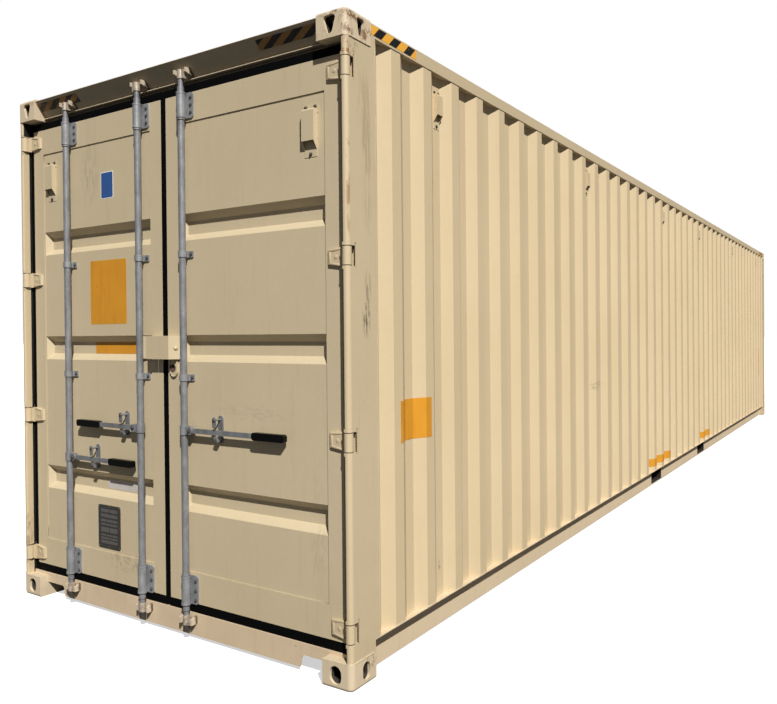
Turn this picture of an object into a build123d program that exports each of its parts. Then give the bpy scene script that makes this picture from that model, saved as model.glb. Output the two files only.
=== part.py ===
from build123d import *
import os
from math import ceil, floor

os.makedirs("parts", exist_ok=True)

# Forty foot high-cube shipping container, millimetres.
# X runs across the doors, Y runs from the doors to the closed front end, Z is up.
# The origin is the middle of the base, level with the feet of the bottom corner castings.

# Overall box
length = 12192.0
width = 2438.0
height = 2896.0
door_end = -length / 2
closed_end = length / 2
side = width / 2

# Corner castings
casting_x = 162.0
casting_y = 178.0
casting_z = 118.0
casting_edge_radius = 15.0
casting_corner_radius = 26.0
casting_wall_outer = 30.0
casting_wall_inner = 12.0
aperture_long = 124.5
aperture_wide = 63.5
aperture_inset_y = 103.5
aperture_inset_x = 89.5
end_hole_wide = 63.5
side_hole_wide = 51.0
hole_tall = 79.5
hole_height = 60.0
shield_point = 17.0
shield_shoulder = 16.0

# Common setbacks of the frame behind the faces of the castings
face_setback = 3.0
plate = 4.0
cut_margin = 1.0

# Doorway
doorway_half = side - 49.0
doorway_top = height - 144.0
stop_depth = 92.0

# Rear corner posts
post_depth = 213.0
post_plate = 6.0
post_inner = side - 33.0
post_corner_radius = 20.0
post_inner_radius = 8.0
post_channel_web = 12.0

# Front corner posts
front_post_x = 118.0
front_post_y = 178.0

# Top side rails
top_rail_size = 60.0
top_rail_top = height - 12.0
top_rail_wall = 3.0

# Door header and door sill
header_top = top_rail_top - plate
header_brow_depth = 6.0
header_lip_depth = 80.0
header_lip_height = header_top - 86.0
lip_plate = 5.0
header_depth = 165.0
sill_depth = 50.0
sill_bottom = 22.0
sill_face_top = 133.0
sill_step_top = 165.0
sill_back_depth = 165.0
sill_notch_top = 80.0
sill_notch_length = 156.0
sill_notch_slant = 23.0
sill_notch_radius = 20.0
sill_foot_cut = 115.0

# Floor and underframe
floor_top = 165.0
floor_board = 28.0
crossmember_flange = 45.0
crossmember_plate = 4.0
crossmember_pitch = 300.0
crossmember_pocket_gap = 30.0
bottom_rail_top = 173.0
bottom_rail_bottom = 11.0
bottom_rail_flange = 66.0
bottom_rail_lip = 30.0
bottom_rail_plate = 4.5

# Forklift pockets
pocket_spacing = 2050.0
pocket_width = 360.0
pocket_height = 109.0
pocket_strap = 200.0

# Gooseneck tunnel at the closed end
tunnel_length = 3315.0
tunnel_width = 1029.0
tunnel_roof = 123.0
tunnel_flange = 40.0
packer_width = 40.0

# Side walls
wall_sheet = 2.0
wall_pitch = 278.0
wall_crest = 74.0
wall_slope = 68.0
wall_depth = 36.0
wall_outer = side - 6.0
wall_phase = -16.0

# Front wall
front_pitch = 250.0
front_crest = 110.0
front_slope = 18.0
front_depth = 45.0
front_setback = 12.0
front_sill_top = 165.0
front_header_height = 72.0

# Roof
roof_sheet = 2.0
roof_waves = 55
roof_crest = 91.0
roof_slope = 13.5
roof_depth = 20.0
roof_end_depth = 320.0
roof_lap = 40.0

# Door leaves
leaf_face = 52.0
leaf_thickness = 50.0
leaf_inner = 20.0
leaf_outer = post_inner - 33.0
leaf_bottom = 182.0
leaf_top = doorway_top - 28.0
stile_inner = 87.0
stile_outer = 96.0
rail_bottom_height = 153.0
rail_top_height = 142.0
panel_sheet = 2.0
panel_recess = 5.0
groove_tops = (2127.0, 1520.0, 768.0)
groove_height = 134.0
groove_slope = 34.0
groove_depth = 36.0
groove_end_bevel = 26.0
gasket_front = 54.0
gasket_back = 86.0
gasket_gap = 6.0
leaf_gap = 12.0

# Hinges
hinge_heights = (leaf_bottom + 62.0, leaf_bottom + 876.0, leaf_top - 873.0, leaf_top - 72.0)
lug_corner_radius = 21.0
hinge_axis_x = side - face_setback - lug_corner_radius
hinge_axis_depth = face_setback + lug_corner_radius
barrel_radius = 20.5
pin_radius = 9.0
pin_clearance = 0.05
blade_height = 84.0
blade_end_height = 60.0
blade_plate = 10.0
blade_reach = 126.0
lug_plate = 14.0
lug_gap = 1.5
lug_depth = 49.0
hinge_notch_depth = 60.0

# Locking rods
rod_places = (-790.0, -168.0, 168.0)
handle_sides = (1, -1, 1)
rod_axis_depth = 24.0
rod_radius = 17.0
rod_bottom = leaf_bottom - 32.0
rod_top = leaf_top + 26.0
rod_clearance = 0.5
neck_radius = 13.0
cam_height = 44.0
cam_reach = 28.0
cam_thick = 16.0
cam_nose = 12.0
cam_lower_middle = 103.0
cam_upper_middle = header_lip_height + 16.0
cam_clearance = 8.5
foot_radius = 16.0
foot_low = 50.0
keeper_plate = 9.5
keeper_height = 42.0
keeper_weld = 3.0
bearing_radius = 22.0
bearing_ring_radius = 23.5
bearing_ring_height = 9.0
bearing_plate = 7.0
bearing_reach = 62.0
bearing_heel = 20.0
bearing_corner = 14.0
lower_bearing_low = leaf_bottom - 3.0
lower_bearing_high = leaf_bottom + 140.0
upper_bearing_low = leaf_top - 128.0
upper_bearing_high = leaf_top - 2.0
guide_radius = 21.5
guide_heights = (1308.0, 1922.0)
guide_tall = 32.0
guide_reach = 44.0
collar_radius = 21.0
collar_height = 9.0
collar_gap = 1.0

# Handles
handle_heights = (842.0, 1038.0, 1048.0)
handle_reaches = (562.0, 537.0, 668.0)
handle_pivot = 48.0
handle_eye = 19.0
handle_thick = 10.0
handle_tall = 24.0
grip_length = 200.0
grip_tall = 36.0
grip_thick = 24.0
hub_radius = 22.0
hub_height = 46.0
hub_plate = 7.0
hub_gap = 1.0
hub_pin_radius = 6.0

# Handle catches
catch_offsets = (218.0, 147.0, 225.0)
catch_width = 34.0
catch_plate = 5.0
catch_above = 80.0
catch_below = 52.0
catch_clearance = 8.0
catch_arm = 18.0
catch_arm_front = 15.0
catch_arm_tip = 9.0
latch_pivot_rise = 62.0
latch_width = 26.0
latch_length = 28.0
latch_front = 10.0
latch_plate = 4.0
latch_pin_radius = 5.0

# Lock box
lock_box_left = -85.0
lock_box_flange = 33.0
lock_box_right = 81.0
lock_box_slant = 40.0
lock_box_bottom = 1399.0
lock_box_top = 1517.0
lock_box_front = 3.0
lock_box_plate = 4.0
lock_box_gap = 6.0
tab_width = 56.0
tab_drop = 90.0
tab_middle = 69.0
tab_plate = 8.0
tab_hole_radius = 14.0
tab_hole_drop = 44.0

# Data plate
data_plate_left = -578.0
data_plate_right = -387.0
data_plate_low = 353.0
data_plate_high = 591.0
data_plate_thick = 2.0
data_plate_corner = 14.0

# Ventilator covers
door_vent_high = leaf_top - 194.0
door_vent_low = door_vent_high - 228.0
door_vent_middle = 976.0
door_vent_width = 88.0
door_vent_hood = 70.0
side_vent_width = 62.0
side_vent_hood = 54.0
side_vent_high = top_rail_top - 130.0
side_vent_low = side_vent_high - 193.0
side_vent_valleys = (3, 11, 19)
vent_flange = 28.0
vent_top_flange = 18.0
vent_plate = 2.0
vent_projection = 26.0
vent_mouth = 40.0


def at(depth):
    """Y of a point that lies this far behind the outer face of the door end."""
    return door_end + depth


def block(x0, x1, y0, y1, z0, z1, mode=Mode.ADD):
    """A rectangular block between two corners."""
    with Locations(((x0 + x1) / 2, (y0 + y1) / 2, (z0 + z1) / 2)):
        Box(abs(x1 - x0), abs(y1 - y0), abs(z1 - z0), mode=mode)


def section(points, plane, amount, mode=Mode.ADD):
    """A closed outline on a plane, drawn out along the plane's normal."""
    with BuildSketch(plane) as outline:
        Polygon(*points, align=None)
    extrude(outline.sketch, amount=amount, mode=mode)


def save(builder, name):
    builder.part.label = name
    export_step(builder.part, f"parts/{name}.step")


# Corner castings: hollow steel blocks with a slot in the foot or top and a hole in each side
def side_hole(wide, pointed):
    """Outline of a hole in an upright face: a slot, or a shield with its point down."""
    if not pointed:
        SlotOverall(hole_tall, wide, rotation=90)
        return
    half = hole_tall / 2
    with BuildSketch() as shield:
        for way in (-1, 1):
            with Locations((way * (wide / 2 - shield_shoulder), half - shield_shoulder)):
                Circle(shield_shoulder)
        with Locations((0, shield_point - half)):
            Circle(shield_point)
        make_hull()
    add(shield.sketch)


def corner_castings(face_z, into, pointed, both_ends):
    """A pair at the doors, or all four; into is +1 up or -1 down from the slotted faces."""
    slot_x = side - aperture_inset_x
    slot_y = door_end + aperture_inset_y
    low, high = sorted((face_z, face_z + into * casting_z))
    hole_z = face_z + into * hole_height
    with BuildPart() as castings:
        block(side - casting_x, side, door_end, door_end + casting_y, low, high)
        corner = (side, door_end, face_z)
        fillet(castings.edges().filter_by(Axis.Z).sort_by_distance(corner)[0],
               casting_corner_radius)
        load_face = castings.faces().filter_by(Axis.Z).sort_by_distance(corner)[0]
        fillet(load_face.edges().sort_by_distance(corner)[:3], casting_edge_radius)
        inner_low, inner_high = sorted((face_z + into * casting_wall_outer,
                                        face_z + into * (casting_z - casting_wall_inner)))
        block(side - casting_x + casting_wall_inner, side - casting_wall_outer,
              door_end + casting_wall_outer, door_end + casting_y - casting_wall_inner,
              inner_low, inner_high, Mode.SUBTRACT)
        with BuildSketch(Plane.XY.offset(face_z)):
            with Locations((slot_x, slot_y)):
                SlotOverall(aperture_long, aperture_wide, rotation=90)
        extrude(amount=into * casting_wall_outer, mode=Mode.SUBTRACT)
        with BuildSketch(Plane((slot_x, door_end, hole_z), x_dir=(1, 0, 0), z_dir=(0, -1, 0))):
            side_hole(end_hole_wide, pointed)
        extrude(amount=-casting_wall_outer, mode=Mode.SUBTRACT)
        with BuildSketch(Plane((side, slot_y, hole_z), x_dir=(0, 1, 0), z_dir=(1, 0, 0))):
            side_hole(side_hole_wide, pointed)
        extrude(amount=-casting_wall_outer, mode=Mode.SUBTRACT)
        mirror(about=Plane.YZ)
        if both_ends:
            mirror(about=Plane.XZ)
    return castings


save(corner_castings(0, 1, False, True), "corner_castings_bottom")
top_castings = corner_castings(height, -1, True, False)
save(top_castings, "corner_castings_top_rear")
with BuildPart() as far_castings:
    add(top_castings.part)
    mirror(about=Plane.XZ, mode=Mode.REPLACE)
save(far_castings, "corner_castings_top_front")


# Rear corner posts: a pressed outer box with a heavy inner channel, notched for the hinges
def rear_post(left):
    face_x = side - face_setback
    front = at(face_setback)
    back = at(post_depth)
    top_rail_bottom = top_rail_top - top_rail_size
    step = at(stop_depth)
    with BuildPart() as post:
        with BuildSketch(Plane.XY.offset(casting_z)):
            Polygon((post_inner, front), (face_x, front), (face_x, back),
                    (doorway_half, back), (doorway_half, step), (post_inner, step), align=None)
            fillet(vertices().sort_by_distance((face_x, front))[0], post_corner_radius)
            fillet(vertices().sort_by_distance((post_inner, front))[0], post_inner_radius)
        extrude(amount=top_rail_bottom - casting_z)
        with BuildSketch(Plane.XY.offset(casting_z)):
            hollow_x = face_x - post_plate
            hollow_y = front + post_plate
            web_x = doorway_half + post_channel_web
            Polygon((post_inner + post_plate, hollow_y), (hollow_x, hollow_y),
                    (hollow_x, back - post_plate), (web_x, back - post_plate),
                    (web_x, step + post_plate), (post_inner + post_plate, step + post_plate),
                    align=None)
            fillet(vertices().sort_by_distance((hollow_x, hollow_y))[0],
                   post_corner_radius - post_plate)
        extrude(amount=top_rail_bottom - casting_z, mode=Mode.SUBTRACT)
        block(doorway_half, side, at(casting_y), at(post_depth), casting_z, bottom_rail_top,
              Mode.SUBTRACT)
        block(doorway_half, side, door_end, at(casting_y), height - casting_z, top_rail_bottom,
              Mode.SUBTRACT)
        for middle in hinge_heights:
            half = blade_height / 2 + lug_gap + lug_plate
            block(doorway_half, side, door_end, at(hinge_notch_depth),
                  middle - half, middle + half, Mode.SUBTRACT)
        if left:
            mirror(about=Plane.YZ, mode=Mode.REPLACE)
    return post


save(rear_post(True), "rear_post_left")
save(rear_post(False), "rear_post_right")

# Hinge lugs: two plates welded into each notch of a post, with the pin between them
with BuildPart() as hinge_lugs:
    face_x = side - face_setback
    for middle in hinge_heights:
        gap_half = blade_height / 2 + lug_gap
        for base in (middle - gap_half - lug_plate, middle + gap_half):
            with BuildSketch(Plane.XY.offset(base)):
                with Locations(((post_inner + face_x) / 2, at(face_setback) + lug_depth / 2)):
                    Rectangle(face_x - post_inner, lug_depth)
                fillet(vertices().sort_by_distance((face_x, at(face_setback)))[0],
                       lug_corner_radius)
            extrude(amount=lug_plate)
        with Locations((hinge_axis_x, at(hinge_axis_depth), middle)):
            Cylinder(pin_radius, 2 * gap_half)
    mirror(about=Plane.YZ)
save(hinge_lugs, "hinge_lugs")

# Front corner posts: pressed open sections, closed towards the outside
with BuildPart() as front_posts:
    face_x = side - face_setback
    face_y = closed_end - face_setback
    outline = [
        (face_x - front_post_x, face_y),
        (face_x, face_y),
        (face_x, face_y - front_post_y + face_setback),
        (face_x - front_post_x / 3, face_y - front_post_y + face_setback),
        (face_x - front_post_x / 3, face_y - front_post_y + face_setback + post_plate),
        (face_x - post_plate, face_y - front_post_y + face_setback + post_plate),
        (face_x - post_plate, face_y - post_plate),
        (face_x - front_post_x + post_plate, face_y - post_plate),
        (face_x - front_post_x + post_plate, face_y - front_post_x / 2),
        (face_x - front_post_x, face_y - front_post_x / 2),
    ]
    section(outline, Plane.XY.offset(casting_z), height - 2 * casting_z)
    mirror(about=Plane.YZ)
save(front_posts, "front_posts")

# Door header: a hollow pressing whose face leans back under the brow, with a drip lip
with BuildPart() as door_header:
    with BuildSketch(Plane.YZ.offset(-doorway_half)):
        Polygon(
            (at(header_brow_depth), header_top),
            (at(header_lip_depth), header_lip_height),
            (at(header_lip_depth), header_lip_height - lip_plate),
            (at(stop_depth), header_lip_height - lip_plate),
            (at(stop_depth), doorway_top),
            (at(header_depth), doorway_top),
            (at(header_depth), header_top),
            align=None,
        )
        Polygon(
            (at(stop_depth + plate), header_lip_height),
            (at(stop_depth + plate), doorway_top + plate),
            (at(header_depth - plate), doorway_top + plate),
            (at(header_depth - plate), header_top - plate),
            (at(header_brow_depth + 2.5 * plate), header_top - plate),
            align=None,
            mode=Mode.SUBTRACT,
        )
    extrude(amount=2 * doorway_half)
    for end in (-1, 1):
        block(end * (side - casting_x), end * side, door_end, at(casting_y),
              height - casting_z, height, Mode.SUBTRACT)
save(door_header, "door_header")

# Door sill: a folded channel, notched beside the bottom castings, with its foot cut back there
with BuildPart() as door_sill:
    with BuildSketch(Plane.YZ.offset(-post_inner)):
        Polygon(
            (at(sill_depth), sill_bottom),
            (at(sill_depth), sill_face_top),
            (at(stop_depth), sill_face_top),
            (at(stop_depth), sill_step_top),
            (at(sill_back_depth), sill_step_top),
            (at(sill_back_depth), sill_step_top - floor_board),
            (at(sill_back_depth - plate), sill_step_top - floor_board),
            (at(sill_back_depth - plate), sill_step_top - plate),
            (at(stop_depth + plate), sill_step_top - plate),
            (at(stop_depth + plate), sill_face_top - plate),
            (at(sill_depth + plate), sill_face_top - plate),
            (at(sill_depth + plate), sill_bottom + plate),
            (at(sill_back_depth), sill_bottom + plate),
            (at(sill_back_depth), sill_bottom),
            align=None,
        )
    extrude(amount=2 * post_inner)
    notch_inner = side - casting_x - sill_notch_length
    notch_run = sill_back_depth - sill_depth
    for end in (-1, 1):
        block(end * doorway_half, end * side, at(stop_depth), at(sill_back_depth),
              sill_bottom, sill_step_top, Mode.SUBTRACT)
        notch = [
            (end * side, 0),
            (end * (notch_inner - sill_notch_slant), 0),
            (end * (notch_inner - sill_notch_slant / 2), sill_bottom),
            (end * notch_inner, sill_notch_top),
            (end * side, sill_notch_top),
        ]
        with BuildSketch(Plane.XZ.offset(-at(sill_back_depth))) as opening:
            Polygon(*notch, align=None)
            fillet(vertices().sort_by_distance((end * notch_inner, sill_notch_top))[0],
                   sill_notch_radius)
        block(end * (side - casting_x), end * side, door_end, at(casting_y), 0, casting_z,
              Mode.SUBTRACT)
        extrude(opening.sketch, amount=notch_run, mode=Mode.SUBTRACT)
        block(end * (notch_inner - sill_foot_cut), end * side, at(sill_depth + plate),
              at(sill_back_depth), sill_bottom, sill_bottom + plate, Mode.SUBTRACT)
save(door_sill, "door_sill")

# Front top rail and front sill of the closed end
with BuildPart() as front_top_rail:
    inner_x = side - casting_x
    back = closed_end - top_rail_size - face_setback
    block(-inner_x, inner_x, back, closed_end - face_setback,
          top_rail_top - front_header_height, top_rail_top)
    block(-inner_x, inner_x, back + plate, closed_end - face_setback - plate,
          top_rail_top - front_header_height + plate, top_rail_top - plate, Mode.SUBTRACT)
save(front_top_rail, "front_top_rail")

with BuildPart() as front_sill:
    inner_x = side - face_setback - front_post_x
    face_y = closed_end - face_setback
    outline = [
        (face_y, sill_bottom),
        (face_y, front_sill_top),
        (face_y - bottom_rail_flange * 2, front_sill_top),
        (face_y - bottom_rail_flange * 2, front_sill_top - plate),
        (face_y - plate, front_sill_top - plate),
        (face_y - plate, sill_bottom + plate),
        (face_y - bottom_rail_flange, sill_bottom + plate),
        (face_y - bottom_rail_flange, sill_bottom),
    ]
    section(outline, Plane.YZ.offset(-inner_x), 2 * inner_x)
    for end in (-1, 1):
        block(end * (side - casting_x), end * side, closed_end - casting_y, closed_end,
              0, casting_z, Mode.SUBTRACT)
    block(-tunnel_width / 2 - plate, tunnel_width / 2 + plate, closed_end - casting_y, closed_end,
          0, tunnel_roof + plate, Mode.SUBTRACT)
save(front_sill, "front_sill")


# Bottom side rails: pressings with the top flange outward and the foot flange inward
def bottom_rail(left):
    tip = side - face_setback
    web = tip - bottom_rail_flange
    outline = [
        (web - bottom_rail_lip, bottom_rail_bottom),
        (web + bottom_rail_plate, bottom_rail_bottom),
        (web + bottom_rail_plate, bottom_rail_top - bottom_rail_plate),
        (tip, bottom_rail_top - bottom_rail_plate),
        (tip, bottom_rail_top),
        (web, bottom_rail_top),
        (web, bottom_rail_bottom + bottom_rail_plate),
        (web - bottom_rail_lip, bottom_rail_bottom + bottom_rail_plate),
    ]
    run = length - 2 * casting_y
    with BuildPart() as rail:
        section(outline, Plane.XZ.offset(-run / 2), run)
        pocket_top = floor_top - floor_board
        for middle in (-pocket_spacing / 2, pocket_spacing / 2):
            block(web - cut_margin, tip + cut_margin, middle - pocket_width / 2 - plate,
                  middle + pocket_width / 2 + plate, pocket_top - pocket_height - 2 * plate,
                  pocket_top, Mode.SUBTRACT)
        if left:
            mirror(about=Plane.YZ, mode=Mode.REPLACE)
    return rail


save(bottom_rail(True), "bottom_rail_left")
save(bottom_rail(False), "bottom_rail_right")

# Forklift pockets: two tubes right across the base, strapped underneath near their ends
with BuildPart() as forklift_pockets:
    pocket_top = floor_top - floor_board
    pocket_low = pocket_top - pocket_height - 2 * plate
    reach = side - face_setback
    for middle in (-pocket_spacing / 2, pocket_spacing / 2):
        half = pocket_width / 2
        block(-reach, reach, middle - half - plate, middle + half + plate, pocket_low, pocket_top)
        block(-reach, reach, middle - half, middle + half,
              pocket_low + plate, pocket_top - plate, Mode.SUBTRACT)
        block(-reach + pocket_strap, reach - pocket_strap, middle - half, middle + half,
              pocket_low, pocket_low + plate, Mode.SUBTRACT)
save(forklift_pockets, "forklift_pockets")

# Cross members: channels between the bottom rails, cut short beside the gooseneck tunnel
with BuildPart() as cross_members:
    reach = side - face_setback - bottom_rail_flange
    top = floor_top - floor_board
    low = bottom_rail_bottom + bottom_rail_plate
    pocket_clear = pocket_width / 2 + plate + crossmember_pocket_gap
    tunnel_start = closed_end - tunnel_length
    places = []
    first = pocket_spacing / 2 + pocket_clear
    run = closed_end - casting_y - first
    count = ceil(run / crossmember_pitch)
    beyond = [first + k * run / count for k in range(count)]
    between = int((pocket_spacing / 2 - pocket_clear - crossmember_flange) / crossmember_pitch)
    places += beyond
    places += [-y - crossmember_flange for y in beyond]
    places += [k * crossmember_pitch - crossmember_flange / 2
               for k in range(-between, between + 1)]
    for y in places:
        outline = [
            (y, low),
            (y + crossmember_flange, low),
            (y + crossmember_flange, low + crossmember_plate),
            (y + crossmember_plate, low + crossmember_plate),
            (y + crossmember_plate, top - crossmember_plate),
            (y + crossmember_flange, top - crossmember_plate),
            (y + crossmember_flange, top),
            (y, top),
        ]
        if y + crossmember_flange < tunnel_start:
            section(outline, Plane.YZ.offset(-reach), 2 * reach)
        else:
            inner = tunnel_width / 2 + plate
            section(outline, Plane.YZ.offset(-reach), reach - inner)
            section(outline, Plane.YZ.offset(inner), reach - inner)
save(cross_members, "cross_members")

# Gooseneck tunnel: a steel roof and two side plates under the floor, on flat packers
with BuildPart() as gooseneck_tunnel:
    start = closed_end - tunnel_length
    end = closed_end - face_setback - bottom_rail_flange - plate
    outer = tunnel_width / 2 + plate
    block(-outer, outer, start, end, sill_bottom, tunnel_roof + plate)
    block(-tunnel_width / 2, tunnel_width / 2, start, end, sill_bottom, tunnel_roof, Mode.SUBTRACT)
    packers = int((end - start) / crossmember_pitch)
    for k in range(packers):
        middle = start + (k + 0.5) * (end - start) / packers
        block(-outer, outer, middle - packer_width / 2, middle + packer_width / 2,
              tunnel_roof + plate, floor_top - floor_board)
save(gooseneck_tunnel, "gooseneck_tunnel")

# Floor: plywood boards laid from sill to sill between the side walls
with BuildPart() as floor_boards:
    floor_half = side - face_setback - bottom_rail_flange
    floor_front = closed_end - face_setback - 2 * bottom_rail_flange
    block(-floor_half, floor_half, at(sill_back_depth), floor_front,
          floor_top - floor_board, floor_top)
save(floor_boards, "floor_boards")


# Pressed walls: a sheet folded into a repeating trapezoid wave
def folded_sheet(start, stop, pitch, crest, slope, depth, phase):
    """Points (run, offset) of one wave; offset 0 is the outer face and -depth is the valley."""
    valley = pitch - crest - 2 * slope
    wave = [
        (-valley / 2 - slope, 0.0),
        (-valley / 2, -depth),
        (valley / 2, -depth),
        (valley / 2 + slope, 0.0),
    ]

    def offset_at(run):
        local = (run - phase + pitch / 2) % pitch - pitch / 2
        for (r0, o0), (r1, o1) in zip(wave, wave[1:]):
            if r0 <= local <= r1:
                return o0 + (o1 - o0) * (local - r0) / (r1 - r0)
        return 0.0

    points = [(start, offset_at(start))]
    for k in range(floor((start - phase) / pitch) - 1, ceil((stop - phase) / pitch) + 2):
        for run, offset in wave:
            place = run + phase + k * pitch
            if start < place < stop:
                points.append((place, offset))
    points.append((stop, offset_at(stop)))
    return points


def side_wall(left):
    top = top_rail_top - top_rail_size
    wave = folded_sheet(at(post_depth), closed_end - casting_y, wall_pitch, wall_crest,
                        wall_slope, wall_depth, wall_phase)
    outer = [(wall_outer + offset, run) for run, offset in wave]
    inner = [(x - wall_sheet, run) for x, run in reversed(outer)]
    with BuildPart() as wall:
        section(outer + inner, Plane.XY.offset(bottom_rail_top), top - bottom_rail_top)
        if left:
            mirror(about=Plane.YZ, mode=Mode.REPLACE)
    return wall


save(side_wall(True), "side_wall_left")
save(side_wall(False), "side_wall_right")

with BuildPart() as front_wall:
    reach = side - face_setback - front_post_x
    wave = folded_sheet(-reach, reach, front_pitch, front_crest, front_slope, front_depth, 0)
    face_y = closed_end - front_setback
    outer = [(run, face_y + offset) for run, offset in wave]
    inner = [(run, y - wall_sheet) for run, y in reversed(outer)]
    section(outer + inner, Plane.XY.offset(front_sill_top),
            top_rail_top - front_header_height - front_sill_top)
    for end in (-1, 1):
        block(end * (side - casting_x), end * side, closed_end - casting_y, closed_end,
              height - casting_z, height, Mode.SUBTRACT)
save(front_wall, "front_wall")

# Roof: stamped sheet with its waves across, between flat plates at both ends
with BuildPart() as roof_panel:
    reach = side - face_setback - top_rail_size
    roof_pitch = (length - 2 * roof_end_depth) / roof_waves
    wave = folded_sheet(at(roof_end_depth), closed_end - roof_end_depth, roof_pitch, roof_crest,
                        roof_slope, roof_depth, 0)
    upper = [(run, top_rail_top + roof_sheet + offset) for run, offset in wave]
    lower = [(run, z - roof_sheet) for run, z in reversed(upper)]
    section(upper + lower, Plane.YZ.offset(-reach), 2 * reach)
save(roof_panel, "roof_panel")

with BuildPart() as roof_end_plates:
    reach = side - face_setback - top_rail_size
    inner_x = side - casting_x
    lap = roof_end_depth + roof_lap
    block(-reach, reach, at(casting_y), at(lap), header_top, top_rail_top)
    block(-inner_x, inner_x, at(header_brow_depth + plate), at(casting_y),
          header_top, top_rail_top)
    block(-reach, reach, closed_end - lap, closed_end - casting_y, header_top, top_rail_top)
    block(-inner_x, inner_x, closed_end - casting_y, closed_end - top_rail_size - face_setback,
          header_top, top_rail_top)
save(roof_end_plates, "roof_end_plates")


# Top side rails: square tubes between the top castings
def top_rail(left):
    outer_x = side - face_setback
    low = top_rail_top - top_rail_size
    half_run = length / 2 - casting_y
    with BuildPart() as rail:
        block(outer_x - top_rail_size, outer_x, -half_run, half_run, low, top_rail_top)
        block(outer_x - top_rail_size + top_rail_wall, outer_x - top_rail_wall,
              -half_run, half_run, low + top_rail_wall, top_rail_top - top_rail_wall,
              Mode.SUBTRACT)
        if left:
            mirror(about=Plane.YZ, mode=Mode.REPLACE)
    return rail


save(top_rail(True), "top_rail_left")
save(top_rail(False), "top_rail_right")


# Ventilator covers: a flanged hood that is open underneath
def vent_cover(back_plane, wide, hood_wide, low, high):
    """A hood on a plane whose X runs across the cover and whose Y runs up."""
    with BuildSketch(back_plane) as flange:
        with Locations((0, (low + high) / 2)):
            Rectangle(hood_wide, high - low)
        with Locations((0, high - vent_top_flange)):
            Rectangle(wide, 2 * vent_top_flange)
    extrude(flange.sketch, amount=vent_plate)
    hood_low = low + vent_flange
    hood_high = high - vent_top_flange
    hood_half = hood_wide / 2
    across = Plane(back_plane.origin, x_dir=back_plane.z_dir, z_dir=-back_plane.x_dir)
    hood = [
        (0, hood_low),
        (vent_projection, hood_low + vent_mouth),
        (vent_projection, hood_high - vent_plate * 4),
        (vent_projection - vent_plate * 4, hood_high),
        (0, hood_high),
    ]
    section(hood, across.offset(-hood_half), 2 * hood_half)
    hollow = [
        (vent_plate, hood_low + vent_plate),
        (vent_projection, hood_low - vent_mouth / 2),
        (vent_projection, hood_low + vent_mouth),
        (vent_projection - vent_plate, hood_low + vent_mouth),
        (vent_projection - vent_plate, hood_high - vent_plate * 5),
        (vent_plate, hood_high - vent_plate),
    ]
    section(hollow, across.offset(-hood_half + vent_plate), 2 * (hood_half - vent_plate),
            Mode.SUBTRACT)


with BuildPart() as side_ventilators:
    valley_x = wall_outer - wall_depth
    for step in side_vent_valleys:
        for way in (-1, 1):
            vent_cover(Plane((valley_x, way * step * wall_pitch + wall_phase, 0),
                             x_dir=(0, 1, 0), z_dir=(1, 0, 0)),
                       side_vent_width, side_vent_hood, side_vent_low, side_vent_high)
    mirror(about=Plane.YZ)
save(side_ventilators, "side_ventilators")


# Door leaves: a welded tube frame round a pressed sheet with three grooves
def leaf_frame(left):
    with BuildPart() as frame:
        block(leaf_inner, leaf_outer, at(leaf_face), at(leaf_face + leaf_thickness),
              leaf_bottom, leaf_top)
        block(leaf_inner + stile_inner, leaf_outer - stile_outer, at(leaf_face),
              at(leaf_face + leaf_thickness), leaf_bottom + rail_bottom_height,
              leaf_top - rail_top_height, Mode.SUBTRACT)
        if left:
            mirror(about=Plane.YZ, mode=Mode.REPLACE)
    return frame


def leaf_panel(left):
    x0 = leaf_inner + stile_inner
    x1 = leaf_outer - stile_outer
    face = leaf_face + panel_recess
    with BuildPart() as panel:
        block(x0, x1, at(face), at(face + panel_sheet), leaf_bottom + rail_bottom_height,
              leaf_top - rail_top_height)
        for grow, mode in ((panel_sheet, Mode.ADD), (0.0, Mode.SUBTRACT)):
            for top in groove_tops:
                middle = (((x0 + x1) / 2), top - groove_height / 2)
                start_depth = face + grow if grow else face
                for depth, bevel, lean in ((start_depth, 0.0, 0.0),
                                           (face + groove_depth + grow, groove_end_bevel,
                                            groove_slope)):
                    with BuildSketch(Plane.XZ.offset(-at(depth))):
                        with Locations(middle):
                            Rectangle(x1 - x0 - 2 * bevel, groove_height - 2 * lean)
                loft(mode=mode)
        if left:
            mirror(about=Plane.YZ, mode=Mode.REPLACE)
    return panel


def leaf_gasket(left):
    with BuildPart() as gasket:
        block(leaf_gap / 2, post_inner - gasket_gap, at(gasket_front), at(gasket_back),
              sill_face_top + gasket_gap, doorway_top + leaf_gap)
        block(leaf_inner, leaf_outer, at(gasket_front), at(gasket_back),
              leaf_bottom, leaf_top, Mode.SUBTRACT)
        if left:
            mirror(about=Plane.YZ, mode=Mode.REPLACE)
    return gasket


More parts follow.
